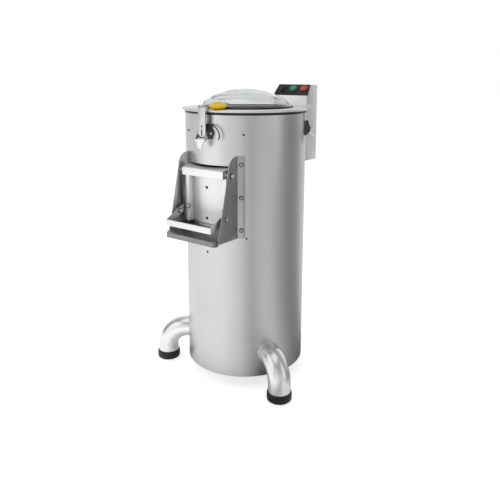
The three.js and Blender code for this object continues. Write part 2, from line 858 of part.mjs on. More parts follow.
// Bail: two side bars and a front strap bent from one flat
function bailBar() {
  const rear = [-bailRearY, bailRearZ];
  const low = [-bailStrapFront, bailStrapLow];
  const high = [-bailStrapFront, bailStrapTop];
  const run = Math.hypot(rear[0] - high[0], rear[1] - high[1]);
  const along = [(rear[0] - high[0]) / run, (rear[1] - high[1]) / run];
  const across = [-along[1], along[0]];
  const rearLow = [rear[0] - across[0] * bailBarWidth, rear[1] - across[1] * bailBarWidth];
  const bar = new THREE.Shape();
  bar.moveTo(...low);
  bar.lineTo(-bailStrapFront + bailBarWidth / 2, bailStrapLow);
  const offset = ([y, z], [stepY, stepZ], length) => [y + stepY * length, z + stepZ * length];
  bar.lineTo(...offset(rearLow, along, -bailRearRadius));
  bar.quadraticCurveTo(...rearLow, ...offset(rearLow, across, bailRearRadius));
  bar.lineTo(...offset(rear, across, -bailRearRadius));
  bar.quadraticCurveTo(...rear, ...offset(rear, along, -bailRearRadius));
  bar.lineTo(...high);
  return bar;
}

function bail(body) {
  const inner = bailSpan - bailSheet;
  const right = solid(sidePlate(bailBar(), inner, bailSpan));
  const strapBack = -bailStrapFront + bailSheet;
  const strap = block(-bailSpan, bailSpan, -bailStrapFront, strapBack, bailStrapLow, bailStrapTop);
  const hole = crossBar(boltBore, -sideHalfSpan, sideHalfSpan, -bailPivotY, bailPivotZ);
  const whole = joined(right, right.mirror([1, 0, 0]), solid(strap)).subtract(solid(hole));
  piece("bail", surface(whole), brightSteel, body);
}

// Lid: gasket, ring with hinge lugs, seal, clear dome and the yellow knob
const gasketLow = drumTop + seatGap;
const ringLow = gasketLow + gasketHeight + seatGap;
const ringTop = ringLow + lidRingHeight;
const domeSealLow = ringTop + seatGap;
const domeLow = domeSealLow + domeSealHeight + seatGap;

function lidLug(angle) {
  const half = strapWidth / 2 + 2 * seatGap;
  const ear = (side) => {
    const from = side > 0 ? half : -half - lugSheet;
    const outline = polygon([
      [lidRingOuter - lugDepth, ringTop - lidRingSheet / 2],
      [lidRingOuter - lidRingSheet, ringTop - lidRingSheet / 2],
      [strapPinU + strapPinRadius + lugEdge, strapPinZ - strapPinRadius],
      [strapPinU + strapPinRadius + lugEdge, strapPinZ + strapPinRadius],
      [strapPinU - strapPinRadius, strapPinZ + strapPinRadius + lugEdge],
      [lidRingOuter - lugDepth, ringTop + lidRingSheet],
    ]);
    return solid(sidePlate(outline, from, from + lugSheet).rotateZ(-quarterTurn));
  };
  const reach = half + lugSheet;
  const pin = turnedDisc(strapPinRadius, -reach, reach, tinySides).rotateX(quarterTurn);
  pin.translate(strapPinU, 0, strapPinZ);
  const lug = joined(ear(1), ear(-1), solid(pin));
  return lug.rotate([0, 0, THREE.MathUtils.radToDeg(angle)]);
}

function lidRing(lid) {
  const rim = lidRingOuter;
  const profile = [
    [lidOpening, ringTop - lidRingSheet],
    [rim - lidBead, ringTop - lidRingSheet],
    [rim - lidBead, ringLow],
    [rim, ringLow],
    [rim, ringTop - lidBead / 3],
    [rim - lidBead / 3, ringTop],
    [lidOpening, ringTop],
    [lidOpening, ringTop - lidRingSheet],
  ];
  let ring = solid(turned(profile, drumSides));
  clampAngles.forEach((angle) => {
    ring = ring.add(lidLug(angle));
  });
  piece("lid_ring", surface(ring), brightSteel, lid);
}

function domeShape(radius, height, sides) {
  const rings = domeRings;
  const profile = [[0, domeLow - overrun], [radius, domeLow - overrun]];
  for (let i = 0; i <= rings; i += 1) {
    const share = Math.cos((i / rings) * quarterTurn);
    profile.push([radius * share, domeLow + height * (1 - share ** 2) ** domeFullness]);
  }
  profile[profile.length - 1][0] = 0;
  return turned(profile, sides);
}

// Soft moulded steps on the dome's left flank, fading out towards the right
function moulded(geometry) {
  const merged = bare(geometry);
  const place = merged.getAttribute("position");
  for (let i = 0; i < place.count; i += 1) {
    const x = place.getX(i);
    const y = place.getY(i);
    const z = place.getZ(i);
    const radius = Math.hypot(x, y);
    const left = Math.max(0, -x / Math.max(radius, seatGap)) ** 2;
    const share = Math.min(1, Math.max(0, (z - domeLow) / domeHeight));
    const swell = domeStepDepth * left * Math.sin(share * halfTurn) * Math.cos(share * domeSteps * fullTurn);
    const scale = radius > seatGap ? (radius + swell) / radius : 1;
    place.setXY(i, x * scale, y * scale);
  }
  return merged;
}

function dome(lid) {
  const outer = solid(moulded(domeShape(domeRadius, domeHeight, domeSides)));
  const inner = solid(domeShape(domeRadius - domeWall, domeHeight - domeWall, domeSides));
  const flange = solid(turnedDisc(domeRadius + domeFlange, domeLow, domeLow + domeFlangeHeight, domeSides));
  const reach = drumRadius;
  const above = solid(block(-reach, reach, -reach, reach, domeLow, domeLow + 2 * domeHeight));
  piece("lid_dome", surface(outer.add(flange).subtract(inner).intersect(above)), clearPlastic, lid);
}

// Rubber trim under and around the dome's flange
function domeSeal(lid) {
  const seat = domeRadius + domeFlange + seatGap;
  const rim = seat + domeSealWall;
  const profile = [
    [lidOpening + domeSealInset, domeSealLow],
    [rim, domeSealLow],
    [rim, domeSealLow + domeSealRim],
    [seat, domeSealLow + domeSealRim],
    [seat, domeSealLow + domeSealHeight],
    [lidOpening + domeSealInset, domeSealLow + domeSealHeight],
    [lidOpening + domeSealInset, domeSealLow],
  ];
  piece("dome_seal", turned(profile, domeSides), rubber, lid);
}

// Yellow lifting knob on the ring, beside the front clamp
function lidKnob(lid) {
  const low = ringTop + seatGap;
  const top = low + lidKnobHeight;
  const knob = turned([
    [0, low],
    [lidKnobFoot, low],
    [lidKnobFoot, low + lidKnobNeck / 2],
    [lidKnobRadius, low + lidKnobNeck],
    [lidKnobRadius, top - lidKnobRounding],
    [lidKnobRadius - lidKnobRounding, top],
    [0, top],
  ], roundSides);
  const mesh = piece("lid_knob", knob, yellowPlastic, lid);
  mesh.position.set(lidKnobCircle * Math.cos(lidKnobAngle), lidKnobCircle * Math.sin(lidKnobAngle), 0);
}

// Clamp parts, made at angle zero with U outwards along +X
function clampStrap(name, hinged) {
  const half = strapWidth / 2;
  const face = strapPinU + strapKnuckle;
  const outline = new THREE.Shape();
  outline.moveTo(-half, strapPinZ);
  outline.lineTo(-half, strapEnd + half);
  outline.absarc(0, strapEnd + half, half, halfTurn, fullTurn, false);
  outline.lineTo(half, strapPinZ);
  const hole = new THREE.Path().absarc(0, strapHoleZ, strapHoleRadius, 0, fullTurn, true);
  const slot = new THREE.Path();
  slot.absarc(0, strapSlotHigh, strapSlotHalfWidth, 0, halfTurn, false);
  slot.absarc(0, strapSlotLow, strapSlotHalfWidth, halfTurn, fullTurn, false);
  outline.holes.push(hole, slot);
  const leaf = solid(frontPlate(outline, -face, -face + strapSheet, fewSides).rotateZ(quarterTurn));
  const knuckle = turnedDisc(strapKnuckle, -half, half, smallSides).rotateX(quarterTurn);
  const hinge = boreFor(strapPinRadius + seatGap, tinySides);
  const bore = turnedDisc(hinge, -strapWidth, strapWidth, tinySides).rotateX(quarterTurn);
  knuckle.translate(strapPinU, 0, strapPinZ);
  bore.translate(strapPinU, 0, strapPinZ);
  const strap = leaf.add(solid(knuckle)).subtract(solid(bore));
  piece(name, surface(strap), brightSteel, hinged);
}

function clampBracket(name, fixed) {
  const half = bracketHalfWidth;
  const seat = drumRadius + seatGap;
  const base = block(seat - overrun, seat + bracketSheet, -half, half, bracketLow, bracketHigh);
  const ear = (side) => {
    const from = side > 0 ? half - bracketSheet : -half;
    const nose = leverPinU + leverPinRadius + lugEdge;
    const outline = polygon([
      [seat - overrun, bracketLow],
      [seat + bracketSheet, bracketLow],
      [nose, leverPinZ - 2 * leverPinRadius],
      [nose, leverPinZ + 2 * leverPinRadius],
      [seat + bracketSheet, bracketHigh],
      [seat - overrun, bracketHigh],
    ]);
    return solid(sidePlate(outline, from, from + bracketSheet).rotateZ(-quarterTurn));
  };
  const reach = half + leverPinHeadLength;
  const pin = turnedDisc(leverPinRadius, -reach, reach, tinySides).rotateX(quarterTurn);
  const head = turnedDisc(leverPinHead, half, reach, tinySides).rotateX(quarterTurn);
  const tail = turnedDisc(leverPinHead, -reach, -half, tinySides).rotateX(quarterTurn);
  [pin, head, tail].forEach((bar) => bar.translate(leverPinU, 0, leverPinZ));
  const solids = [solid(base), ear(1), ear(-1), solid(pin), solid(head), solid(tail), clipWireLoop()];
  const bracket = joined(...solids).subtract(drumCut(seat, 0, drumTop));
  piece(name, surface(bracket), darkSteel, fixed);
}

// The bent wire that holds the clamp's lever, from the bracket's upper corner to its hooked end
function clipWireLoop() {
  const u = drumRadius + seatGap + bracketSheet + clipWire + clipStandoff;
  const start = bracketHalfWidth - bracketSheet;
  const path = new THREE.CatmullRomCurve3([
    new THREE.Vector3(u - clipStandoff, start - bracketSheet, bracketHigh - 2 * clipWire),
    new THREE.Vector3(u, start + clipReach / 2, bracketHigh - clipDrop / 3),
    new THREE.Vector3(u, start + clipReach, bracketHigh - clipDrop),
    new THREE.Vector3(u, start + clipReach, bracketHigh - clipDrop - clipHook),
  ]);
  return solid(tubeAlong(path, clipWire, bendSteps, tinySides / 4));
}

function clampLever(name, hinged) {
  const outer = leverTongueU + leverTongueThickness;
  const side = polygon([
    [leverPinU - leverArmWidth / 2, leverPinZ + leverArmWidth / 2],
    [leverPinU - leverArmWidth / 2, leverPinZ - leverArmWidth / 3],
    [leverTongueU - leverArmWidth / 3, leverTongueTop - leverArmWidth / 2],
    [outer, leverTongueTop - leverArmWidth / 2],
    [outer, leverTongueTop + leverArmWidth / 4],
    [leverPinU + leverArmWidth / 2, leverPinZ + leverArmWidth / 2],
  ]);
  const arm = (sign) => {
    const from = sign > 0 ? leverArmInner : -leverArmInner - leverSheet;
    return solid(sidePlate(side, from, from + leverSheet).rotateZ(-quarterTurn));
  };
  const half = leverArmInner + leverSheet;
  const tip = leverTipRadius;
  const outline = new THREE.Shape();
  outline.moveTo(-half, leverTongueTop);
  outline.lineTo(-half, leverTongueTop - leverArmWidth / 2);
  outline.lineTo(-tip, leverTongueEnd + tip);
  outline.absarc(0, leverTongueEnd + tip, tip, halfTurn, fullTurn, false);
  outline.lineTo(half, leverTongueTop - leverArmWidth / 2);
  outline.lineTo(half, leverTongueTop);
  const tongue = solid(frontPlate(outline, -outer, -leverTongueU, fewSides).rotateZ(quarterTurn));
  const hinge = boreFor(leverPinRadius + seatGap, tinySides);
  const bore = turnedDisc(hinge, -drumRadius, drumRadius, tinySides).rotateX(quarterTurn);
  bore.translate(leverPinU, 0, leverPinZ);
  const lever = joined(arm(1), arm(-1), tongue).subtract(solid(bore));
  piece(name, surface(lever), brightSteel, hinged);
}

function clamps(lid) {
  const names = ["front", "right", "left"];
  clampAngles.forEach((angle, i) => {
    const onLid = new THREE.Group();
    const onDrum = new THREE.Group();
    onLid.rotation.z = angle;
    onDrum.rotation.z = angle;
    lid.add(onLid);
    machine.add(onDrum);
    clampStrap(`clamp_strap_${names[i]}`, onLid);
    clampBracket(`clamp_bracket_${names[i]}`, onDrum);
    clampLever(`clamp_lever_${names[i]}`, onDrum);
  });
}

// Control box behind the drum: its outline in Y and Z, at a given inset
function boxOutline(inset, back) {
  return polygon([
    [0, boxBottom + inset],
    [back, boxBottom + inset],
    [back, boxTop - inset],
    [boxTopFront + inset / 2, boxTop - inset],
    [boxFront + inset, boxSlopeLow - inset / 2],
    [boxFront + inset, boxSaddleTop - inset],
    [0, boxSaddleTop - inset],
  ]);
}

const slopeAngle = Math.atan2(boxTop - boxSlopeLow, boxTopFront - boxFront);
const slopeLength = Math.hypot(boxTop - boxSlopeLow, boxTopFront - boxFront);

// Controls are made upright on the origin, then set on the sloped face at x, out by lift
function onSlope(geometry, x, lift) {
  const share = controlShare;
  geometry.translate(0, 0, lift).rotateX(slopeAngle);
  const y = boxFront + (boxTopFront - boxFront) * share;
  const z = boxSlopeLow + (boxTop - boxSlopeLow) * share;
  return geometry.translate(x, y, z);
}

const controlPlaces = [controlOffset - controlPitch, controlOffset, controlOffset + controlPitch];

function boxHousing() {
  const half = boxHalfWidth;
  const outer = solid(sidePlate(boxOutline(0, boxBack), -half, half));
  const inner = solid(sidePlate(boxOutline(boxSheet, boxBack + overrun), -half + boxSheet, half - boxSheet));
  const saddle = drumCut(drumRadius + seatGap + boxSheet, 0, boxTop);
  let housing = outer.subtract(inner.subtract(saddle)).subtract(drumCut(drumRadius + seatGap, 0, boxTop));
  controlPlaces.forEach((x) => {
    const hole = onSlope(turnedDisc(buttonStem + runningGap, -overrun, overrun, tinySides), x, 0);
    housing = housing.subtract(solid(hole));
  });
  const glandHole = turnedDisc(glandThread + seatGap, boxBottom - overrun, boxBottom + overrun, smallSides);
  glandHole.translate(glandX, (boxFront + boxBack) / 2, 0);
  piece("box_housing", surface(housing.subtract(solid(glandHole))), steel, machine);
}

function boxCover() {
  const low = boxBottom;
  const back = boxBack + seatGap;
  piece(
    "box_back_cover",
    surface(solid(block(-boxHalfWidth, boxHalfWidth, back, back + boxCoverSheet, low, boxTop))),
    steel,
    machine,
  );
}

function controlPanel() {
  const lowY = -slopeLength * controlShare;
  const highY = slopeLength * (1 - controlShare);
  const outline = polygon([
    [-panelLowHalfWidth, lowY],
    [panelLowHalfWidth, lowY],
    [panelTopHalfWidth, highY],
    [-panelTopHalfWidth, highY],
  ]);
  let panel = solid(onSlope(flatPlate(outline, seatGap, seatGap + panelSheet), 0, 0));
  controlPlaces.forEach((x) => {
    const hole = onSlope(turnedDisc(buttonStem + runningGap, -overrun, overrun, tinySides), x, 0);
    panel = panel.subtract(solid(hole));
  });
  piece("control_panel", surface(panel), blackPlastic, machine);
}

const panelFace = panelSheet + 2 * seatGap;

// The buttons and their bezels are oval, wider than they are tall
function bezel(name, x, material) {
  const ring = turned([
    [buttonRadius + runningGap, 0],
    [bezelRadius, 0],
    [bezelRadius, bezelHeight / 2],
    [bezelRadius - bezelHeight / 2, bezelHeight],
    [buttonRadius + runningGap, bezelHeight],
    [buttonRadius + runningGap, 0],
  ], roundSides).scale(buttonStretchShare, 1, 1);
  piece(name, onSlope(ring, x, panelFace), material, machine);
}

function pushButton(name, x, material) {
  const foot = buttonTravel + seatGap;
  const stem = buttonStem / buttonStretchShare;
  const cap = turned([
    [0, -buttonStemLength],
    [stem, -buttonStemLength],
    [stem, foot],
    [buttonRadius, foot],
    [buttonRadius, buttonRise + foot - buttonEdge],
    [buttonRadius - buttonEdge, buttonRise + foot - seatGap],
    [0, buttonRise + foot],
  ], roundSides).scale(buttonStretchShare, 1, 1);
  piece(name, onSlope(cap, x, panelFace), material, machine);
}

function timerKnob(x) {
  const base = knobHeight - knobSkirt;
  const body = turned([
    [0, -buttonStemLength],
    [knobStem, -buttonStemLength],
    [knobStem, seatGap],
    [knobRadius, seatGap],
    [knobRadius, knobSkirt],
    [knobRadius - knobTaper, knobSkirt + seatGap],
    [knobRadius - 2 * knobTaper, base],
    [0, base],
  ], roundSides);
  const half = knobGripHalfWidth;
  const grip = block(-half, half, -knobRadius, knobRadius - knobTaper, knobSkirt / 2, knobHeight);
  const knob = solid(body).add(solid(grip));
  piece("timer_knob", onSlope(surface(knob), x, panelFace), blackPlastic, machine);
}

function cableGland() {
  const y = (boxFront + boxBack) / 2;
  const top = boxBottom - seatGap;
  const nut = solid(turnedDisc(glandRadius, top - glandNutHeight, top, hexSides));
  const tail = turned([
    [0, top - glandNutHeight - glandTailLength],
    [glandTailRadius * glandTaperShare, top - glandNutHeight - glandTailLength],
    [glandTailRadius, top - glandNutHeight],
    [glandTailRadius, top],
    [0, top],
  ], smallSides);
  const thread = turnedDisc(glandThread, top - seatGap, boxBottom + overrun, smallSides);
  const bore = turnedDisc(glandBore, boxBottom - drumRadius, boxBottom + 2 * overrun, smallSides);
  const gland = nut.add(solid(tail)).add(solid(thread)).subtract(solid(bore));
  piece("cable_gland", surface(gland).translate(glandX, y, 0), blackPlastic, machine);
}

// Rotor: disc with wavy ridges, shaft and driven pulley
function abrasiveDisc(rotor) {
  const top = discLow + discSheet;
  const bore = shaftRadius + seatGap;
  const profile = [
    [0, top - discSheet / 2],
    [bore, top - discSheet / 2],
    [bore, discLow - discHubDrop],
    [discHubRadius, discLow - discHubDrop],
    [discHubRadius + discSheet, discLow],
    [discRadius, discLow],
    [discRadius, top],
    [0, top],
  ];
  let disc = solid(turned(profile, domeSides));
  for (let i = 0; i < discRidgeCount; i += 1) {
    const ridge = new THREE.Shape();
    const length = discRadius - discRidge;
    const [nearShare, farShare] = discRidgeShares;
    ridge.moveTo(discHubRadius, -discRidgeHalfWidth);
    ridge.bezierCurveTo(
      length * nearShare,
      -discRidgeHalfWidth * 3,
      length * farShare,
      discRidgeHalfWidth,
      length,
      -discRidgeHalfWidth,
    );
    ridge.lineTo(length, discRidgeHalfWidth);
    ridge.bezierCurveTo(
      length * farShare,
      discRidgeHalfWidth * 3,
      length * nearShare,
      -discRidgeHalfWidth,
      discHubRadius,
      discRidgeHalfWidth,
    );
    const bar = flatPlate(ridge, top - discSheet / 2, top + discRidge, tinySides / 2);
    disc = disc.add(solid(bar.rotateZ((i * fullTurn) / discRidgeCount)));
  }
  piece("abrasive_disc", surface(disc), abrasive, rotor);
}

function mainShaft(rotor) {
  const top = discLow + discSheet / 2 - seatGap;
  const profile = [
    [0, shaftLow],
    [shaftRadius - edgeEasing, shaftLow],
    [shaftRadius, shaftLow + edgeEasing],
    [shaftRadius, top - edgeEasing],
    [shaftRadius - edgeEasing, top],
    [0, top],
  ];
  piece("main_shaft", turned(profile, roundSides), brightSteel, rotor);
}

function groovedPulley(radius, bore, sides) {
  const low = pulleyLow;
  const high = pulleyLow + pulleyHeight;
  const middle = (low + high) / 2;
  const half = beltHeight / 2 + grooveClear;
  const root = radius - beltThickness - grooveClear;
  return turned([
    [bore, low],
    [radius, low],
    [radius, middle - half],
    [root, middle - half],
    [root, middle + half],
    [radius, middle + half],
    [radius, high],
    [bore, high],
    [bore, low],
  ], sides);
}

function driveBelt() {
  const middle = pulleyLow + pulleyHeight / 2;
  const loop = (offset, Kind) => {
    const big = drivenPulley - beltThickness + offset;
    const small = motorPulley - beltThickness + offset;
    const lean = Math.acos((big - small) / motorY);
    const outline = new Kind();
    outline.absarc(0, motorY, small, quarterTurn - lean, quarterTurn + lean, false);
    outline.absarc(0, 0, big, quarterTurn + lean, quarterTurn - lean + fullTurn, false);
    return outline;
  };
  const belt = loop(beltThickness, THREE.Shape);
  belt.holes.push(loop(grooveClear / 2, THREE.Path));
  const band = flatPlate(belt, middle - beltHeight / 2, middle + beltHeight / 2, tinySides);
  piece("drive_belt", band, rubber, machine);
}

function bearings() {
  const high = bulkheadTop - bulkheadSheet - seatGap - housingFlangeHeight;
  const top = bulkheadTop - bulkheadSheet - seatGap;
  const bore = bearingRadius + seatGap;
  const housing = turned([
    [bore, housingLow],
    [housingRadius, housingLow],
    [housingRadius, high],
    [housingFlange, high],
    [housingFlange, top],
    [bore, top],
    [bore, housingLow],
  ], roundSides);
  piece("bearing_housing", housing, castMetal, machine);
  const inner = shaftRadius + seatGap;
  const ring = (low, height) => turnedRing(bearingRadius, inner, low, low + height, roundSides);
  const upper = top - sealHeight - bearingHeight - bearingInset;
  piece("upper_bearing", ring(upper, bearingHeight), brightSteel, machine);
  piece("lower_bearing", ring(housingLow + bearingInset, bearingHeight), brightSteel, machine);
  piece("shaft_seal", ring(top - sealHeight - seatGap, sealHeight), rubber, machine);
}

function motor(spinning) {
  const low = motorPlateTop + seatGap;
  const outline = new THREE.Shape();
  const steps = motorFins * 4;
  for (let i = 0; i < steps; i += 1) {
    const radius = i % 4 < 2 ? motorRadius : motorRadius - motorFin;
    const angle = (i * fullTurn) / steps;
    const method = i === 0 ? "moveTo" : "lineTo";
    outline[method](radius * Math.cos(angle), radius * Math.sin(angle));
  }
  const body = solid(flatPlate(outline, low, low + motorHeight));
  const shaftBore = boreFor(motorShaft + seatGap, smallSides);
  const bore = solid(turnedDisc(shaftBore, low - overrun, low + motorHeight / 2, smallSides));
  const cowlLow = low + motorHeight - seatGap;
  const cowl = turned([
    [0, cowlLow],
    [motorRadius - cowlStep, cowlLow],
    [motorRadius - cowlStep, cowlLow + cowlHeight - cowlStep],
    [motorRadius - 2 * cowlStep, cowlLow + cowlHeight],
    [0, cowlLow + cowlHeight],
  ], roundSides);
  const cased = body.add(solid(cowl)).subtract(bore);
  piece("motor", surface(cased).translate(0, motorY, 0), motorPaint, machine);
  const shaftTop = low + motorHeight / 2 - edgeEasing;
  const shaft = turnedDisc(motorShaft, pulleyLow - motorShaftDrop, shaftTop, smallSides);
  piece("motor_shaft", shaft.translate(0, motorY, 0), brightSteel, spinning);
  const pulley = groovedPulley(motorPulley, boreFor(motorShaft + seatGap, smallSides), smallSides);
  piece("motor_pulley", pulley.translate(0, motorY, 0), castMetal, spinning);
}

function motorPlate() {
  const low = motorPlateTop - motorPlateSheet;
  const round = solid(turnedDisc(drumInner - seatGap, low, motorPlateTop, drumSides));
  const half = motorPlateHalfWidth;
  const part = solid(block(-half, half, motorPlateFront, drumRadius, low - overrun, motorPlateTop + overrun));
  const hole = turnedDisc(motorShaft + runningGap, low - overrun, motorPlateTop + overrun, smallSides);
  const plate = round.intersect(part).subtract(solid(hole.translate(0, motorY, 0)));
  piece("motor_plate", surface(plate), steel, machine);
}

// Hose inlet high on the back of the drum
function waterInlet() {
  const nutLow = drumRadius + seatGap;
  const barbLow = nutLow + inletNutHeight;
  const pitch = (inletLength - inletNutHeight) / inletBarbs;
  const profile = [[inletBore, drumInner], [inletRadius, drumInner], [inletRadius, barbLow]];
  for (let i = 0; i < inletBarbs; i += 1) {
    const start = barbLow + i * pitch;
    profile.push([inletRadius + inletBarbRise, start + pitch * inletBarbShare]);
    profile.push([inletRadius, start + pitch]);
  }
  profile.push([inletBore, barbLow + inletBarbs * pitch], [inletBore, drumInner]);
  const spigot = solid(turned(profile, smallSides));
  const nut = solid(turnedDisc(inletNut, nutLow, nutLow + inletNutHeight, hexSides));
  const bore = solid(turnedDisc(inletBore, 0, drumRadius * 2, smallSides));
  const saddle = drumCut(drumRadius + seatGap, 0, drumTop);
  const tilt = (manifold) => manifold.rotate([0, quarterDegrees, 0]).translate([0, 0, inletZ]);
  const nutOnWall = tilt(nut.subtract(bore)).subtract(saddle);
  const inlet = nutOnWall.add(tilt(spigot));
  const mesh = piece("water_inlet", surface(inlet), brightSteel, machine);
  mesh.rotation.z = inletAngle;
}

drumShell();
chamberLiner();
bulkhead();
bottomCover();
legs();
chuteSide("chute_side_right", 1);
chuteSide("chute_side_left", -1);
chuteFloor();
const hingeEnd = doorHalfWidth - 2 * doorSheet;
crossBolt("door_hinge_bolt_right", 1, doorHingeY, doorHingeZ, hingeEnd, 0);
crossBolt("door_hinge_bolt_left", -1, doorHingeY, doorHingeZ, hingeEnd, 0);
const washerFace = bailSpan - bailSheet - seatGap;
crossBolt("bail_bolt_right", 1, bailPivotY, bailPivotZ, washerFace - boltWasherHeight, washerFace);
crossBolt("bail_bolt_left", -1, bailPivotY, bailPivotZ, washerFace - boltWasherHeight, washerFace);

const door = new THREE.Group();
machine.add(door);
doorFrame(door);
doorPanel(door);
doorLiner(door);
doorSeal(door);
doorScrew("door_screw_upper", doorScrewHigh, door);
doorScrew("door_screw_lower", doorScrewLow, door);
bail(machine);

const lid = new THREE.Group();
machine.add(lid);
const gasket = turnedRing(gasketOuter, gasketInner, gasketLow, gasketLow + gasketHeight, drumSides);
piece("lid_gasket", gasket, rubber, lid);
lidRing(lid);
domeSeal(lid);
dome(lid);
lidKnob(lid);
clamps(lid);

boxHousing();
boxCover();
controlPanel();
bezel("start_bezel", controlPlaces[1], darkGreenPlastic);
bezel("stop_bezel", controlPlaces[2], darkRedPlastic);
pushButton("start_button", controlPlaces[1], greenPlastic);
pushButton("stop_button", controlPlaces[2], redPlastic);
timerKnob(controlPlaces[0]);
cableGland();

const rotor = new THREE.Group();
machine.add(rotor);
abrasiveDisc(rotor);
mainShaft(rotor);
piece("driven_pulley", groovedPulley(drivenPulley, shaftRadius + seatGap, roundSides), castMetal, rotor);
driveBelt();
bearings();
motorPlate();
motor(machine);
waterInlet();

// The whole machine is set so that its box is centred on the origin in plan
const coverBack = boxBack + seatGap + boxCoverSheet;
machine.position.y = (bailStrapFront - coverBack) / 2;

export default machine;
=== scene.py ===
import json
import math

import bpy
from mathutils import Matrix, Vector

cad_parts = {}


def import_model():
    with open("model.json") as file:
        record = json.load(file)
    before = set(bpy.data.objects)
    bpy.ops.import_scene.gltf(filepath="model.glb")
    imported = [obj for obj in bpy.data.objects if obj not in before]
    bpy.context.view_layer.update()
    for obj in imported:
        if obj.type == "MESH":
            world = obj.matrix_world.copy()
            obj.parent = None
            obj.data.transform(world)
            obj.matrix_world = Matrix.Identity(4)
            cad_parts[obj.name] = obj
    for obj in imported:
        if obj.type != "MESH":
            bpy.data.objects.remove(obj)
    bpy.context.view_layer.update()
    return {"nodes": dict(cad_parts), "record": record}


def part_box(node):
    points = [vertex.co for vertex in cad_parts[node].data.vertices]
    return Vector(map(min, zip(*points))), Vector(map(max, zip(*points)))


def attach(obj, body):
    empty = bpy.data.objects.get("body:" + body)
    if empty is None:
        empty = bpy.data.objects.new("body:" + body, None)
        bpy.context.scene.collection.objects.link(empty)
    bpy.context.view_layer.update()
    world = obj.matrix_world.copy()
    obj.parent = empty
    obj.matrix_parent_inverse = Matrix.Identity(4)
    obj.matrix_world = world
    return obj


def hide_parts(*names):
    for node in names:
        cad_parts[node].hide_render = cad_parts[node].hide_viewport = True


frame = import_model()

MM = 0.001
FULL_TURN = math.tau
QUARTER_TURN = math.pi / 2
MERGE_GAP = 0.01 * MM

# Steps to a full turn, from the drum and the ring down to the screws
FINE_STEPS = 160
SMOOTH_STEPS = 128
ROUND_STEPS = 64
KNOB_STEPS = 48
SMALL_STEPS = 32
SCREW_STEPS = 24

# The drum's axis in metres, and its radius, wall and ends in millimetres
floor_low, floor_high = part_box("chamber_floor")
shell_low, shell_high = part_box("drum_shell")
AXIS_Y = (floor_low.y + floor_high.y) / 2
DRUM_RADIUS = shell_high.x / MM
DRUM_WALL = 2
DRUM_BOTTOM = shell_low.z / MM
DRUM_TOP = shell_high.z / MM

# Radii in millimetres on the drum's side: the bare wall, the back of what sits on it, and the flanges' face
BARE_RADIUS = 200
SEAT_RADIUS = 200.3
FLANGE_FACE = 202.3

# Angles about the drum's axis, in degrees from its right
CLAMP_ANGLES = {"front": -90, "right": 30, "left": 150}
LEG_ANGLES = {"front_right": -30, "rear": 90, "front_left": 210}
DRAIN_ANGLE = 90
SIDES = (("right", 1), ("left", -1))


def at(x, y, z):
    """A point given in millimetres from the drum's axis and the floor."""
    return Vector((x * MM, AXIS_Y + y * MM, z * MM))


def box_mm(node):
    """A node's lowest and highest corners in millimetres, from the drum's axis and the floor."""
    low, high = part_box(node)
    centre = Vector((0, AXIS_Y, 0))
    return (low - centre) / MM, (high - centre) / MM


# Selecting and placing


def new_object(name, data):
    obj = bpy.data.objects.new(name, data)
    bpy.context.scene.collection.objects.link(obj)
    return obj


def deselect():
    if bpy.context.object and bpy.context.object.mode != "OBJECT":
        leave_edit()
    bpy.ops.object.select_all(action="DESELECT")


def leave_edit():
    bpy.ops.object.mode_set(mode="OBJECT")


def pick(obj):
    deselect()
    obj.select_set(True)
    bpy.context.view_layer.objects.active = obj


def named(name):
    obj = bpy.context.object
    obj.name = name
    obj.data.name = name
    return obj


def settle(obj):
    pick(obj)
    bpy.ops.object.transform_apply(location=True, rotation=True, scale=True)
    return obj


def edit(obj, mode="VERT"):
    pick(obj)
    bpy.ops.object.mode_set(mode="EDIT")
    bpy.ops.mesh.select_mode(type=mode)


def bevelled(obj, width, segments, test):
    """Rounds off the edges whose two ends pass the test, by a width in millimetres."""
    edit(obj, "EDGE")
    bpy.ops.mesh.select_all(action="DESELECT")
    leave_edit()
    points = obj.data.vertices
    for edge in obj.data.edges:
        edge.select = test(points[edge.vertices[0]].co, points[edge.vertices[1]].co)
    bpy.ops.object.mode_set(mode="EDIT")
    bpy.ops.mesh.bevel(offset=width * MM, segments=segments, affect="EDGES")
    leave_edit()
    return obj


def choose_all():
    bpy.ops.mesh.select_all(action="SELECT")


def merge_doubles(gap=MERGE_GAP):
    """Merges the points that lie on each other in the piece that is in edit mode."""
    choose_all()
    bpy.ops.mesh.remove_doubles(threshold=gap)


def extrude(step):
    bpy.ops.mesh.extrude_region_move(TRANSFORM_OT_translate={"value": step})


def outwards(obj):
    """Turns every face of the piece in edit mode outwards, and leaves edit mode."""
    choose_all()
    bpy.ops.mesh.normals_make_consistent(inside=False)
    leave_edit()
    return obj


def smoothed(obj, degrees=35):
    pick(obj)
    bpy.ops.object.shade_smooth_by_angle(angle=math.radians(degrees))
    return obj


def modified(obj, kind, **settings):
    """Adds a modifier with its settings and applies it."""
    pick(obj)
    modifier = obj.modifiers.new(kind.title(), kind)
    for key, value in settings.items():
        setattr(modifier, key, value)
    bpy.ops.object.modifier_apply(modifier=modifier.name)
    return obj


def rounded(obj, width, segments=3, degrees=35):
    """Rounds the edges that are sharper than an angle in degrees, by a width in millimetres."""
    limit = math.radians(degrees)
    modified(obj, "BEVEL", width=width * MM, segments=segments, limit_method="ANGLE", angle_limit=limit)
    return smoothed(obj)


def combined(obj, operation, others):
    for other in others:
        modified(obj, "BOOLEAN", operation=operation, solver="EXACT", object=other)
        bpy.data.objects.remove(other)
    return obj


def cut(obj, *cutters):
    return combined(obj, "DIFFERENCE", cutters)


def united(obj, *others):
    return combined(obj, "UNION", others)


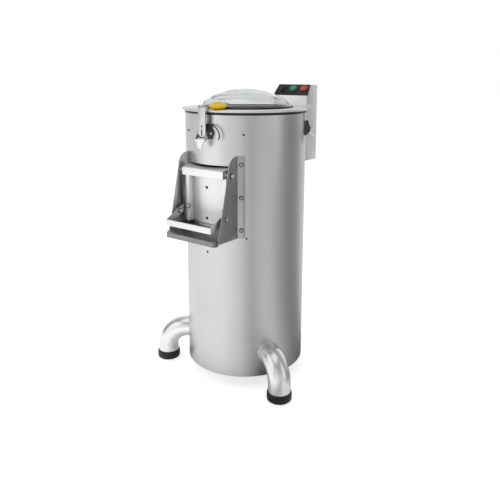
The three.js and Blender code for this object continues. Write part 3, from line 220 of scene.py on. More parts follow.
def joined(name, *parts):
    deselect()
    for part in parts:
        part.select_set(True)
    bpy.context.view_layer.objects.active = parts[0]
    if len(parts) > 1:
        bpy.ops.object.join()
    return named(name)


def turned_by(obj, degrees, axis="Z"):
    """Turns a finished piece about the drum's foot, and puts its place back in its mesh."""
    centre = at(0, 0, 0)
    turn = Matrix.Translation(centre) @ Matrix.Rotation(math.radians(degrees), 4, axis)
    obj.matrix_world = turn @ Matrix.Translation(-centre) @ obj.matrix_world
    bpy.context.view_layer.update()
    return settle(obj)


# Basic forms


def arc(centre, along, across, steps, count):
    """Points of an arc as pairs: off the centre by along at step 0, and by across at step count."""
    points = []
    for step in steps:
        cosine = math.cos(step / count * QUARTER_TURN)
        sine = math.sin(step / count * QUARTER_TURN)
        points.append(tuple(c + a * cosine + b * sine for c, a, b in zip(centre, along, across)))
    return points


def traced(name, start, steps):
    """A chain of edges from a point in metres, one to each step, left selected in edit mode."""
    deselect()
    bpy.ops.mesh.primitive_plane_add(size=MM, location=start)
    obj = settle(named(name))
    edit(obj)
    choose_all()
    bpy.ops.mesh.merge(type="CENTER")
    for step in steps:
        bpy.ops.mesh.extrude_vertices_move(TRANSFORM_OT_translate={"value": step})
    choose_all()
    return obj


def traced_profile(name, profile, x=0, y=0):
    """A profile of radius and height in millimetres, traced beside an upright axis."""
    steps = [((b[0] - a[0]) * MM, 0, (b[1] - a[1]) * MM) for a, b in zip(profile, profile[1:])]
    return traced(name, at(x + profile[0][0], y, profile[0][1]), steps)


def turned(name, profile, steps=ROUND_STEPS, axis=(0, 0)):
    """Spins a profile of radius and height, in millimetres, about an upright axis."""
    obj = traced_profile(name, profile, *axis)
    bpy.ops.mesh.spin(steps=steps, angle=FULL_TURN, center=at(*axis, 0), axis=(0, 0, 1))
    merge_doubles()
    return smoothed(outwards(obj))


def sector(name, inner, outer, low, high, start, end, steps=24):
    """A curved wall about the drum's axis between two angles in degrees, sizes in millimetres."""
    obj = traced_profile(name, [(inner, low), (outer, low), (outer, high), (inner, high)])
    bpy.ops.mesh.edge_face_add()
    bpy.ops.mesh.delete(type="ONLY_FACE")
    choose_all()
    sweep = math.radians(end - start)
    bpy.ops.mesh.spin(steps=steps, angle=-sweep, center=at(0, 0, 0), axis=(0, 0, 1))
    merge_doubles()
    bpy.ops.mesh.fill_holes(sides=4)
    return turned_by(outwards(obj), start)


def plate(name, outline, push):
    """A flat plate: an outline of points in metres, filled, then pushed out by a vector."""
    obj = traced(name, outline[0], [after - before for before, after in zip(outline, outline[1:])])
    bpy.ops.mesh.edge_face_add()
    extrude(push)
    return outwards(obj)


def side_plate(name, place, thickness, outline):
    """An upright plate that faces sideways at a place along X, its outline as pairs of Y and Z."""
    return plate(name, [at(place, y, z) for y, z in outline], Vector((thickness * MM, 0, 0)))


def wire(name, radius, points, closed=False):
    """A bent wire through points in metres, open or closed."""
    curve = bpy.data.curves.new(name, "CURVE")
    curve.dimensions = "3D"
    curve.bevel_depth = radius * MM
    curve.bevel_resolution = 4
    curve.use_fill_caps = True
    spline = curve.splines.new("NURBS")
    spline.points.add(len(points) - 1)
    for knot, point in zip(spline.points, points):
        knot.co = (*point, 1)
    spline.order_u = 3
    spline.use_endpoint_u = not closed
    spline.use_cyclic_u = closed
    spline.resolution_u = 8
    pick(new_object(name, curve))
    bpy.ops.object.convert(target="MESH")
    return smoothed(named(name))


def bar(name, radius, start, end):
    """A round bar between two points in metres, radius in millimetres."""
    deselect()
    run = end - start
    turn = run.to_track_quat("Z", "Y").to_euler()
    bpy.ops.mesh.primitive_cylinder_add(
        vertices=SMALL_STEPS, radius=radius * MM, depth=run.length, location=(start + end) / 2, rotation=turn
    )
    return settle(named(name))


def brick(name, low, high):
    """A box between two corners in metres."""
    deselect()
    bpy.ops.mesh.primitive_cube_add(size=1, location=(low + high) / 2)
    obj = named(name)
    obj.scale = high - low
    return settle(obj)


def bent_tube(name, radius, wall, start, bend_start, axis_height, bend, end_height, steps=28):
    """A tube along +X that bends down by a quarter turn, with sizes in millimetres."""
    deselect()
    place = at(start, 0, axis_height)
    bpy.ops.mesh.primitive_circle_add(
        vertices=ROUND_STEPS, radius=radius * MM, location=place, rotation=(0, QUARTER_TURN, 0)
    )
    obj = settle(named(name))
    edit(obj, "EDGE")
    choose_all()
    extrude(((bend_start - start) * MM, 0, 0))
    centre = at(bend_start, 0, axis_height - bend)
    bpy.ops.mesh.spin(steps=steps, angle=-QUARTER_TURN, center=centre, axis=(0, 1, 0))
    extrude((0, 0, (end_height - axis_height + bend) * MM))
    merge_doubles()
    modified(outwards(obj), "SOLIDIFY", thickness=wall * MM, offset=-1)
    return smoothed(obj)


def softened(name, node, width, segments=3):
    """A copy of a flat-sided node with its triangles merged and its edges rounded."""
    obj = new_object(name, frame["nodes"][node].data.copy())
    obj.data.materials.clear()
    edit(obj)
    merge_doubles(2 * MERGE_GAP)
    bpy.ops.mesh.dissolve_limited(angle_limit=math.radians(1), delimit=set())
    leave_edit()
    return rounded(obj, width, segments, 30)


def fitted(obj, body, slot, *nodes, finish=None):
    """Gives a piece its body, the finish of its slot or another, and hides the nodes that it stands for."""
    obj.data.materials.clear()
    obj.data.materials.append(finish or FINISHES[slot])
    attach(obj, body)
    if nodes:
        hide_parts(*nodes)


# Finishes


def grey(value):
    return (value, value, value)


def feed(tree, socket, value):
    """Links another node's output to an input, or sets the input to a plain value."""
    if isinstance(value, bpy.types.NodeSocket):
        tree.links.new(value, socket)
    else:
        socket.default_value = value


def new_node(tree, kind, **sockets):
    """A node with its inputs fed by name."""
    node = tree.nodes.new(kind)
    for name, value in sockets.items():
        feed(tree, node.inputs[name], value)
    return node


def math_node(tree, operation, *values, kind="ShaderNodeMath"):
    """A node that works out one operation, with its inputs fed in turn."""
    node = tree.nodes.new(kind)
    node.operation = operation
    for socket, value in zip(node.inputs, values):
        feed(tree, socket, value)
    return node


def ramp_node(tree, share, stops, interpolation="LINEAR"):
    """Colours at places along a share from 0 to 1."""
    ramp = new_node(tree, "ShaderNodeValToRGB", Fac=share)
    ramp.color_ramp.interpolation = interpolation
    elements = ramp.color_ramp.elements
    while len(elements) < len(stops):
        elements.new(0.5)
    for element, (place, colour) in zip(elements, stops):
        element.position = place
        element.color = (*colour, 1)
    return ramp.outputs["Color"]


def mix_node(tree, share, first, second):
    """Two colours mixed by a share that goes from 0 for the first to 1 for the second."""
    mix = tree.nodes.new("ShaderNodeMix")
    mix.data_type = "RGBA"
    for socket, output in (("Factor", share), ("A", first), ("B", second)):
        tree.links.new(output, mix.inputs[socket])
    return mix.outputs["Result"]


class Finish:
    """A procedural material on Object coordinates, built up from noise, ramps and bumps."""

    def __init__(self, name, metallic=0.0):
        self.material = bpy.data.materials.new(name)
        self.material.use_nodes = True
        self.tree = self.material.node_tree
        self.shader = self.tree.nodes["Principled BSDF"]
        self.place = self.tree.nodes.new("ShaderNodeTexCoord").outputs["Object"]
        self.set("Metallic", metallic)

    def set(self, socket, value):
        """Feeds one of the shader's inputs."""
        feed(self.tree, self.shader.inputs[socket], value)

    def noise(self, scale, detail, stretch=(1, 1, 1), roughness=0.5):
        """Noise whose scale is the number of features in a metre."""
        mapped = new_node(self.tree, "ShaderNodeMapping", Vector=self.place, Scale=stretch)
        sockets = {"Scale": scale, "Detail": detail, "Roughness": roughness}
        texture = new_node(self.tree, "ShaderNodeTexNoise", Vector=mapped.outputs["Vector"], **sockets)
        return texture.outputs["Fac"]

    def ramp(self, output, *stops):
        return ramp_node(self.tree, output, stops)

    def span(self, output, low, high, start=0.3, end=0.7):
        """A value from low to high, as the output goes from start to end."""
        sockets = {"Value": output, "From Min": start, "From Max": end, "To Min": low, "To Max": high}
        return new_node(self.tree, "ShaderNodeMapRange", **sockets).outputs["Result"]

    def bump(self, output, strength, distance):
        """A bump on top of those that came before it."""
        bump = new_node(self.tree, "ShaderNodeBump", Height=output, Strength=strength, Distance=distance)
        last = self.shader.inputs["Normal"]
        if last.is_linked:
            self.tree.links.new(last.links[0].from_socket, bump.inputs["Normal"])
        self.tree.links.new(bump.outputs["Normal"], last)


def steel(name, tone, spread, rough, rough_spread, brushing, strength=0.15, metallic=1.0):
    """Stainless steel with a brushed grain, soft clouds of tone and faint smudges."""
    finish = Finish(name, metallic=metallic)
    grain = finish.noise(1.0, 4, brushing, 0.6)
    clouds = finish.noise(9, 3)
    smudges = finish.noise(38, 5, (1, 1, 0.5), 0.7)
    dark = grey(tone - spread)
    light = grey(tone + spread)
    cloudy = finish.ramp(clouds, (0.3, dark), (0.7, light))
    streaked = finish.ramp(grain, (0.35, dark), (0.65, light))
    share = finish.span(smudges, 0.25, 0.6)
    finish.set("Base Color", mix_node(finish.tree, share, cloudy, streaked))
    finish.set("Roughness", finish.span(grain, rough - rough_spread, rough + rough_spread))
    finish.bump(grain, strength, 0.00006)
    finish.bump(clouds, 0.1, 0.0004)
    return finish.material


def drum_sheet():
    return steel("satin_drum_sheet", 0.56, 0.02, 0.36, 0.05, (3, 3, 900), 0.12)


# A darker copy of the sheet steel: painted shade, for the right chute wing that faces away from the light,
# and for the flange screw heads.
def wing_sheet_painted_shade():
    return steel("painted_shade_wing_sheet", 0.40, 0.03, 0.33, 0.05, (5, 5, 500))


# A darker copy of the sheet steel: painted shade on the chute's slide, which lies in shade under the door
# and bail.
def slide_sheet_painted_shade():
    return steel("painted_shade_slide_sheet", 0.22, 0.04, 0.34, 0.05, (300, 5, 5))


# A darker copy of the bright steel for the clamp straps: painted shade that tones down the light they catch
# from the left.
def clasp_sheet_painted_shade():
    return steel("painted_shade_clasp_sheet", 0.52, 0.02, 0.34, 0.04, (200, 200, 60), 0.1)


def bolt_zinc():
    return steel("bright_bolt_zinc", 0.85, 0.03, 0.3, 0.05, (200, 200, 200), 0.1, 0.9)


def box_sheet():
    return steel("pale_box_sheet", 0.82, 0.02, 0.34, 0.05, (5, 5, 500), 0.1, 0.9)


def polished_steel():
    return steel("polished_tube_steel", 0.76, 0.03, 0.25, 0.03, (30, 30, 90), 0.04)


def bright_sheet():
    return steel("bright_folded_sheet", 0.72, 0.03, 0.42, 0.05, (400, 5, 5), 0.1)


def pan_sheet():
    return steel("pale_pan_sheet", 0.84, 0.02, 0.42, 0.05, (400, 5, 5), 0.1, 0.72)


def dark_metal():
    finish = Finish("darkened_steel", metallic=0.85)
    clouds = finish.noise(120, 4)
    finish.set("Base Color", finish.ramp(clouds, (0.3, grey(0.045)), (0.7, grey(0.10))))
    finish.set("Roughness", finish.span(clouds, 0.32, 0.5))
    finish.bump(finish.noise(900, 3), 0.15, 0.0001)
    return finish.material


def cast_metal():
    finish = Finish("cast_alloy", metallic=0.8)
    grain = finish.noise(500, 4)
    finish.set("Base Color", finish.ramp(grain, (0.3, grey(0.18)), (0.7, grey(0.27))))
    finish.set("Roughness", finish.span(grain, 0.5, 0.7))
    finish.bump(grain, 0.4, 0.0003)
    return finish.material


def black_rubber():
    finish = Finish("black_rubber")
    dust = finish.noise(60, 5)
    pores = finish.noise(1400, 2)
    finish.set("Base Color", finish.ramp(dust, (0.35, grey(0.004)), (0.7, grey(0.016))))
    finish.set("Roughness", finish.span(dust, 0.30, 0.48))
    finish.bump(pores, 0.2, 0.0002)
    finish.set("Specular IOR Level", 0.35)
    return finish.material


def grit_coating():
    finish = Finish("abrasive_grit")
    grit = finish.noise(650, 6, (1, 1, 1), 0.8)
    tone = finish.noise(25, 3)
    dark = finish.ramp(grit, (0.35, (0.03, 0.028, 0.025)), (0.7, (0.12, 0.11, 0.10)))
    light = finish.ramp(grit, (0.35, (0.05, 0.047, 0.042)), (0.7, (0.19, 0.18, 0.165)))
    finish.set("Base Color", mix_node(finish.tree, tone, dark, light))
    finish.set("Roughness", 0.92)
    finish.bump(grit, 0.9, 0.0012)
    return finish.material


def clear_moulding():
    finish = Finish("clear_moulded_dome")
    haze = finish.noise(14, 4)
    scuffs = finish.noise(40, 5, (1, 1, 1), 0.7)
    tint = finish.ramp(haze, (0.3, (0.83, 0.85, 0.85)), (0.7, (0.87, 0.885, 0.88)))
    finish.set("Base Color", tint)
    finish.set("Roughness", finish.span(scuffs, 0.01, 0.03))
    finish.set("Transmission Weight", 0.97)
    finish.set("IOR", 1.46)
    return finish.material


def gloss_plastic(name, dark, light, rough=0.28, coat=0.2):
    finish = Finish(name)
    clouds = finish.noise(90, 3)
    speckle = finish.noise(1500, 2)
    finish.set("Base Color", finish.ramp(clouds, (0.3, dark), (0.7, light)))
    finish.set("Roughness", finish.span(speckle, rough, rough + 0.12))
    finish.set("Coat Weight", coat)
    finish.bump(speckle, 0.06, 0.0001)
    return finish.material


def motor_enamel():
    return gloss_plastic("motor_enamel", (0.05, 0.07, 0.10), (0.08, 0.10, 0.13), 0.45, 0.0)


def knob_yellow():
    return gloss_plastic("yellow_knob_plastic", (0.90, 0.58, 0.012), (0.96, 0.68, 0.03), 0.42, 0.0)


FINISHES = {
    "steel": drum_sheet(),
    "bright_steel": bright_sheet(),
    "dark_steel": dark_metal(),
    "cast_metal": cast_metal(),
    "rubber": black_rubber(),
    "abrasive": grit_coating(),
    "clear_plastic": clear_moulding(),
    "black_plastic": gloss_plastic("black_panel_plastic", grey(0.004), grey(0.012), 0.36, 0.0),
    "green_plastic": gloss_plastic("green_button_plastic", (0.02, 0.27, 0.15), (0.04, 0.36, 0.21)),
    "red_plastic": gloss_plastic("red_button_plastic", (0.60, 0.05, 0.03), (0.72, 0.09, 0.05)),
    "dark_green_plastic": gloss_plastic("green_bezel_plastic", (0.004, 0.05, 0.025), (0.01, 0.09, 0.05)),
    "dark_red_plastic": gloss_plastic("red_bezel_plastic", (0.09, 0.008, 0.006), (0.15, 0.02, 0.012)),
    "yellow_plastic": knob_yellow(),
    "motor_paint": motor_enamel(),
}
WING_PAINTED_SHADE = wing_sheet_painted_shade()
SLIDE_PAINTED_SHADE = slide_sheet_painted_shade()
BOX = box_sheet()
PAN = pan_sheet()
POLISHED = polished_steel()
AMBER = gloss_plastic("amber_knob_face", (0.75, 0.25, 0.004), (0.92, 0.50, 0.01), 0.42, 0.0)
CLASP_PAINTED_SHADE = clasp_sheet_painted_shade()
ZINC = bolt_zinc()


def dress_nodes():
    """Every node of the frame takes the finish of its slot in the record."""
    for entry in frame["record"]["subparts"]:
        node = frame["nodes"][entry["node"]]
        node.data.materials.clear()
        node.data.materials.append(FINISHES[entry["material_slot"]])
    for name in ("box_housing", "box_back_cover"):
        frame["nodes"][name].data.materials[0] = BOX


# Drum

# Bent tubes: sizes in millimetres, with places along X from the drum's axis
LEG_TUBE = dict(radius=36, wall=2, start=190, bend_start=209, axis_height=123, bend=73, end_height=8.3)
DRAIN_TUBE = dict(radius=16, wall=2, start=194, bend_start=222, axis_height=519, bend=24, end_height=477)
DRAIN_STEPS = 16
FOOT_PLACE = LEG_TUBE["bend_start"] + LEG_TUBE["bend"]
LEG_BEAD = 1.1
DRAIN_BEAD = 1.2

# The rubber cup, as a profile of radius and height
FOOT_PROFILE = [(0, 0), (31, 0), (34.4, 1), (38.6, 4.6), (39.8, 7.4), (40, 10), (40, 26.4), (39.4, 28.8)]
FOOT_PROFILE += [(38, 30), (36.4, 30), (36.4, 8), (0, 8)]

# The discharge opening's lower left and upper right corners, well before and behind the wall
MOUTH_LOW = (-86, -240, 551)
MOUTH_HIGH = (86, -120, 741)


def drum_wall():
    """The drum with its curled foot and its discharge opening, and the drain elbow at the back."""
    outer = DRUM_RADIUS
    inner = outer - DRUM_WALL
    low = DRUM_BOTTOM
    high = DRUM_TOP
    curl = 3
    profile = [(inner, low + curl), (inner, low + 1), (outer - curl, low)]
    profile += arc((outer - curl, low + curl), (0, -curl), (curl, 0), range(1, 6), 5)
    profile += [(outer, high - 0.5), (outer - 0.5, high), (inner, high), (inner, low + curl)]
    wall = turned("drum_wall", profile, FINE_STEPS)
    cut(wall, brick("mouth_cutter", at(*MOUTH_LOW), at(*MOUTH_HIGH)))
    drain = turned_by(bent_tube("drain_elbow", steps=DRAIN_STEPS, **DRAIN_TUBE), DRAIN_ANGLE)
    fitted(smoothed(wall), "machine", "steel", "drum_shell")
    fitted(drain, "machine", "steel", finish=POLISHED)


def legs():
    """Three bent tubes with their weld beads and rubber cups, and the drain's bead."""
    for name, degrees in LEG_ANGLES.items():
        leg = turned_by(bent_tube(f"leg_tube_{name}", **LEG_TUBE), degrees)
        fitted(leg, "machine", "bright_steel", f"leg_{name}", finish=POLISHED)
        weld(f"leg_weld_{name}", LEG_TUBE["radius"], LEG_TUBE["axis_height"], LEG_BEAD, degrees)
        foot = turned_by(turned(f"foot_cup_{name}", FOOT_PROFILE, ROUND_STEPS, (FOOT_PLACE, 0)), degrees)
        fitted(foot, "machine", "rubber", f"foot_{name}")
    weld("drain_weld", DRAIN_TUBE["radius"] + 0.3, DRAIN_TUBE["axis_height"], DRAIN_BEAD, DRAIN_ANGLE)


def weld(name, tube, height, bead, degrees):
    """The rounded bead where a level tube meets the drum's wall at an angle, sizes in millimetres."""
    points = []
    for step in range(ROUND_STEPS):
        turn = step / ROUND_STEPS * FULL_TURN
        across = tube * math.sin(turn)
        points.append(at(math.sqrt(DRUM_RADIUS**2 - across**2), across, height + tube * math.cos(turn)))
    seam = turned_by(wire(name, bead, points, closed=True), degrees)
    fitted(seam, "machine", "bright_steel")


# Lid

dome_low, dome_high = box_mm("lid_dome")
trim_low, trim_high = box_mm("dome_seal")
ring_low, ring_high = box_mm("lid_ring")
DOME_RADIUS = 149
DOME_WALL = 3
DOME_RINGS = 36
DOME_STEPS = 3
DOME_STEP_DEPTH = 4
DOME_STEP_START = 2.1
DOME_FULLNESS = 0.66
RING_TOP = trim_low.z - 0.3
RING_INNER = DOME_RADIUS - 3
RING_BEAD = 11
HINGE_RADIUS = 216
HINGE_HEIGHT = 916
LUG_HALF = 18.6
LUG_EAR = 3


def dome_curve(radius, top):
    """Points of the dome's side from its foot to just short of its crown."""
    points = []
    for step in range(DOME_RINGS):
        share = math.cos(step / DOME_RINGS * QUARTER_TURN)
        points.append((radius * share, dome_low.z + top * (1 - share**2) ** DOME_FULLNESS))
    return points


def dome():
    low = dome_low.z
    high = dome_high.z - low
    outer = dome_curve(DOME_RADIUS, high)
    inner = dome_curve(DOME_RADIUS - DOME_WALL, high - DOME_WALL)
    flange = DOME_RADIUS + 4
    profile = [(RING_INNER, low), (flange - 0.4, low), (flange, low + 0.4), (flange, low + 1.6)]
    profile += [(flange - 0.4, low + 2), (DOME_RADIUS + 0.5, low + 2)]
    profile += outer[1:] + [(0, dome_high.z), (0, dome_high.z - DOME_WALL)]
    profile += inner[:0:-1] + [(RING_INNER, low)]
    shell = moulded(turned("dome_shell", profile, SMOOTH_STEPS))
    fitted(smoothed(shell), "lid", "clear_plastic", "lid_dome")


def moulded(shell):
    """The soft moulded steps on the dome's left flank, which fade out towards the right."""
    low = dome_low.z * MM
    height = (dome_high.z - dome_low.z) * MM
    for point in shell.data.vertices:
        across = Vector((point.co.x, point.co.y - AXIS_Y))
        if across.length > MM and point.co.z > low + DOME_STEP_START * MM:
            left = max(0, -across.x / across.length) ** 2
            share = min(1, (point.co.z - low) / height)
            rise = math.sin(share * math.pi)
            wave = math.cos(share * DOME_STEPS * FULL_TURN)
            swell = DOME_STEP_DEPTH * MM * left * rise * wave
            scale = (across.length + swell) / across.length
            point.co.x = across.x * scale
            point.co.y = AXIS_Y + across.y * scale
    return shell


def lid_ring():
    rim = ring_high.x
    low = ring_low.z
    web = RING_TOP - 3
    bead = rim - RING_BEAD
    profile = [(RING_INNER, web), (bead, web), (bead, low), (rim - 3.4, low), (rim - 1.2, low + 0.6)]
    profile += [(rim, low + 2.2), (rim, low + 3.6), (rim - 0.8, low + 5.2), (rim - 2.4, low + 6.8)]
    profile += [(rim - 4.4, RING_TOP), (RING_INNER + 1, RING_TOP), (RING_INNER, RING_TOP - 0.6)]
    profile += [(RING_INNER, web)]
    parts = [turned("ring_rim", profile, FINE_STEPS)]
    parts += [turned_by(hinge_lug(), angle) for angle in CLAMP_ANGLES.values()]
    fitted(smoothed(joined("lid_rim", *parts)), "lid", "bright_steel", "lid_ring")


def hinge_lug():
    """Two ears on the ring's top and the pin through them, made at the drum's right."""
    ears = []
    for low in (-LUG_HALF, LUG_HALF - LUG_EAR):
        ear = brick("ear", at(205, low, RING_TOP - 2), at(220, low + LUG_EAR, RING_TOP + 9))
        bevelled(ear, 4, 6, lambda a, b: abs(a.y - b.y) > MM and max(a.z, b.z) > (RING_TOP + 8) * MM)
        ears.append(rounded(ear, 0.5, 2, 50))
    pin = bar("pin", 3, at(HINGE_RADIUS, -LUG_HALF, HINGE_HEIGHT), at(HINGE_RADIUS, LUG_HALF, HINGE_HEIGHT))
    return joined("hinge_lug", *ears, rounded(pin, 0.4))


def rubber_trims():
    """The gasket under the ring and the trim round the dome's foot."""
    low, high = box_mm("lid_gasket")
    rim = high.x
    inner = rim - 8
    gasket = [(inner, low.z), (rim - 0.6, low.z), (rim, low.z + 0.6), (rim, high.z - 0.6)]
    gasket += [(rim - 0.6, high.z), (inner, high.z), (inner, low.z)]
    fitted(turned("drum_gasket", gasket, FINE_STEPS), "lid", "rubber", "lid_gasket")
    rim = trim_high.x
    low = trim_low.z
    high = trim_high.z
    trim = [(RING_INNER + 1, low), (rim - 0.5, low), (rim, low + 0.5), (rim, high - 0.9), (rim - 0.8, high)]
    trim += [(rim - 3.4, high), (rim - 4, high - 0.6), (rim - 4, low + 1.7), (RING_INNER + 1, low + 1.7)]
    trim += [(RING_INNER + 1, low)]
    fitted(turned("dome_trim", trim, SMOOTH_STEPS), "lid", "rubber", "dome_seal")


def lid_knob():
    """The yellow knob: a round foot, a wide rim and a sunken face of a deeper colour."""
    low, high = box_mm("lid_knob")
    place = ((low.x + high.x) / 2, (low.y + high.y) / 2)
    rim = (high.x - low.x) / 2
    base = low.z
    top = high.z
    middle = (base + top) / 2
    half = (top - base) / 2
    foot = 15
    sunk = rim - 12
    body = [(0, base), (foot, base)]
    body += arc((0, middle), (rim, 0), (0, half), range(-11, 11), 14)
    body += [(sunk, top - 0.6), (sunk - 1.2, top - 0.9), (sunk - 2, top - 2.4), (0, top - 2.4)]
    knob = turned("yellow_knob", body, ROUND_STEPS, place)
    fitted(knob, "lid", "yellow_plastic", "lid_knob")
    face = [(0, top - 2.3), (sunk - 2.2, top - 2.3), (sunk - 2.8, top - 1.6), (8, top - 0.9), (0, top - 0.7)]
    cap = turned("knob_face", face, ROUND_STEPS, place)
    fitted(cap, "lid", "yellow_plastic", finish=AMBER)


# Clamps: each piece is made at the front and turned round to its own place

STRAP_HALF = 15
STRAP_LOW = 828
STRAP_BACK = -214
STRAP_FRONT = -225
SLOT_HALF = 2.2
SLOT_LOW = 834
SLOT_HIGH = 850
BRACKET_HALF = 23
BRACKET_LOW = 822
BRACKET_HIGH = 868
BRACKET_EAR = 3
PIN_PLACE = (-211, 840)
BOSS_PLACE = (-210, 840)
BORE_RADIUS = 3.3


def clamp_set(maker, node, body, slot, finish=None):
    for name, angle in CLAMP_ANGLES.items():
        item = maker()
        item.name = f"{node}_piece_{name}"
        item.data.name = item.name
        turned_by(item, angle - CLAMP_ANGLES["front"])
        fitted(item, body.format(name), slot, f"{node}_{name}", finish=finish)


def clamp_strap():
    """A leaf with a round lower end, a roll round the hinge pin, a hole and a slot."""
    hinge = (-HINGE_RADIUS, HINGE_HEIGHT)
    leaf = brick("strap_leaf", at(-STRAP_HALF, -221, STRAP_LOW), at(STRAP_HALF, -218, HINGE_HEIGHT))
    bevelled(leaf, 14.8, 18, lambda a, b: max(a.z, b.z) < (STRAP_LOW + 2) * MM and abs(a.x - b.x) < MM)
    united(leaf, bar("roll", 5, at(-STRAP_HALF, *hinge), at(STRAP_HALF, *hinge)))
    cut(leaf, bar("bore", BORE_RADIUS, at(-20, *hinge), at(20, *hinge)))
    for radius, height in ((3, 861), (SLOT_HALF, SLOT_LOW), (SLOT_HALF, SLOT_HIGH)):
        cut(leaf, bar("hole", radius, at(0, STRAP_FRONT, height), at(0, STRAP_BACK, height)))
    slot = brick("slot", at(-SLOT_HALF, STRAP_FRONT, SLOT_LOW), at(SLOT_HALF, STRAP_BACK, SLOT_HIGH))
    return rounded(cut(leaf, slot), 0.45, 2, 50)


def clamp_bracket():
    """A curved seat on the drum's wall with two ears, the pin between them and its boss."""
    spread = math.degrees(math.asin(BRACKET_HALF / SEAT_RADIUS))
    sides = (-90 - spread, -90 + spread)
    seat = sector("bracket_seat", SEAT_RADIUS, SEAT_RADIUS + 3, BRACKET_LOW, BRACKET_HIGH, *sides)
    parts = [rounded(seat, 0.5)]
    outline = [(-202, BRACKET_LOW), (-204, BRACKET_LOW), (-215, 834), (-215, 846)]
    outline += [(-204, BRACKET_HIGH), (-202, BRACKET_HIGH)]
    for low in (-BRACKET_HALF, BRACKET_HALF - BRACKET_EAR):
        ear = side_plate("ear", low, BRACKET_EAR, outline)
        bevelled(ear, 4, 6, lambda a, b: abs(a.x - b.x) > MM and max(a.y, b.y) < AXIS_Y - 210 * MM)
        parts.append(rounded(ear, 0.4, 2))
    boss = bar("pin_boss", 8.5, at(BRACKET_HALF, *BOSS_PLACE), at(BRACKET_HALF + 4, *BOSS_PLACE))
    parts.append(rounded(boss, 0.5, 2))
    parts.append(smoothed(bar("pin", 3, at(-BRACKET_HALF, *PIN_PLACE), at(BRACKET_HALF, *PIN_PLACE))))
    return joined("clamp_bracket", *parts)


def pin_head():
    """The bright riveted end of the bracket's pin."""
    return rounded(bar("pin_head", 4.4, at(27, *BOSS_PLACE), at(29, *BOSS_PLACE)), 0.9)


def clip_wire():
    """The bent wire at the bracket's right side, from its upper corner to its hooked end."""
    points = [(16, -205.3, 864), (30, -206.8, 867), (46, -207.3, 859), (56, -207.3, 847)]
    points += [(59, -207.3, 837), (59, -207.3, 829), (55, -207.3, 823)]
    return wire("clip_wire", 2, [at(*point) for point in points])


def clamp_trims():
    """The wires and pin heads, which have no node of their own."""
    for name, angle in CLAMP_ANGLES.items():
        for item, slot, finish in ((clip_wire(), "dark_steel", None), (pin_head(), "bright_steel", ZINC)):
            item.name = f"{item.name}_{name}"
            turned_by(item, angle - CLAMP_ANGLES["front"])
            fitted(item, "machine", slot, finish=finish)


def clamp_lever():
    """Two arms on the bracket's pin and a tongue across them that runs down to a round tip."""
    half = 19.4
    arms = []
    outline = [(-206, 845), (-206, 836.7), (-224.7, 817), (-231, 817), (-231, 824.5), (-216, 845)]
    for low in (17, -half):
        arm = side_plate("arm", low, 2.4, outline)
        arms.append(bevelled(arm, 3, 5, lambda a, b: abs(a.x - b.x) > MM and min(a.z, b.z) > 835 * MM))
    tip = 10.5
    rim = [(-half, 822), (-half, 819), (-13, 812.5), (-11, 808)]
    rim += arc((0, 793 + tip), (-tip, 0), (0, -tip), range(13), 6)
    rim += [(11, 808), (13, 812.5), (half, 819), (half, 822)]
    tongue = plate("tongue", [at(x, -228, z) for x, z in rim], Vector((0, -3 * MM, 0)))
    united(tongue, *arms)
    cut(tongue, bar("bore", BORE_RADIUS, at(-40, *PIN_PLACE), at(40, *PIN_PLACE)))
    return rounded(tongue, 0.5, 2, 50)


def clamps():
    # The straps take the darker copy of the bright steel: painted shade.
    clamp_set(clamp_strap, "clamp_strap", "strap_{}", "bright_steel", CLASP_PAINTED_SHADE)
    clamp_set(clamp_bracket, "clamp_bracket", "machine", "dark_steel")
    clamp_set(clamp_lever, "clamp_lever", "lever_{}", "bright_steel")
    clamp_trims()


# Chute, with places on its sides as pairs of Y and Z

WING_INNER = 101
WING_OUTER = 103
WING_FOOT = (-272, 515)
WING_SHOULDER = (-219, 733)
CHUTE_LOW = 515
CHUTE_HIGH = 773
CORNER_RADIUS = 40
FLANGE_SPREAD = 6.9
JAMBS = (-72, 72)
JAMB_HEIGHT = 602
DOOR_HINGE = (-203, 716)
BAIL_PIVOT = (-229, 587)
BOLT_HOLE = 4.4

# Profiles of radius and rise, for the flanges' dark washers, which are painted shadow round the screws, and
# for the screws
SHADOW_WASHER_PROFILE = [(0, -1), (7.2, -1), (7.2, 0.6), (6.8, 0.9), (0, 0.9)]
HEAD_PROFILE = [(0, 0.5), (4.8, 0.5), (4.8, 1.2), (4.2, 2.3), (2.8, 3), (0, 3.3)]
FLANGE_SCREWS = (540.8, 644, 747.2)

# Screws straight on the drum's wall: place across, place in depth, height and radius
DRUM_SCREWS = ((-95, -176, 841, 3.6), (117, -163, 838, 3.6), (0, -200, 459, 3.4), (124, -157, 514, 3))


def curve_points(start, first, second, end, count=20):
    """Points of a soft curve between two ends with two pulls, as pairs."""
    knots = (start, first, second, end)
    points = []
    for step in range(count + 1):
        t = step / count
        shares = ((1 - t) ** 3, 3 * t * (1 - t) ** 2, 3 * t**2 * (1 - t), t**3)
        points.append(tuple(sum(share * knot[i] for share, knot in zip(shares, knots)) for i in (0, 1)))
    return points


def wing_outline():
    """A side plate's outline: a soft front edge that ends in a round upper corner."""
    back = 4 - math.sqrt(BARE_RADIUS**2 - WING_OUTER**2)
    outline = [(back, CHUTE_LOW), WING_FOOT]
    outline += curve_points(WING_FOOT, (-248.2, 602.2), (-234.9, 667.6), WING_SHOULDER)[1:]
    corner = (WING_SHOULDER[0] + CORNER_RADIUS, WING_SHOULDER[1])
    outline += arc(corner, (-CORNER_RADIUS, 0), (0, CORNER_RADIUS), range(1, 13), 12)
    outline.append((back, CHUTE_HIGH))
    return outline


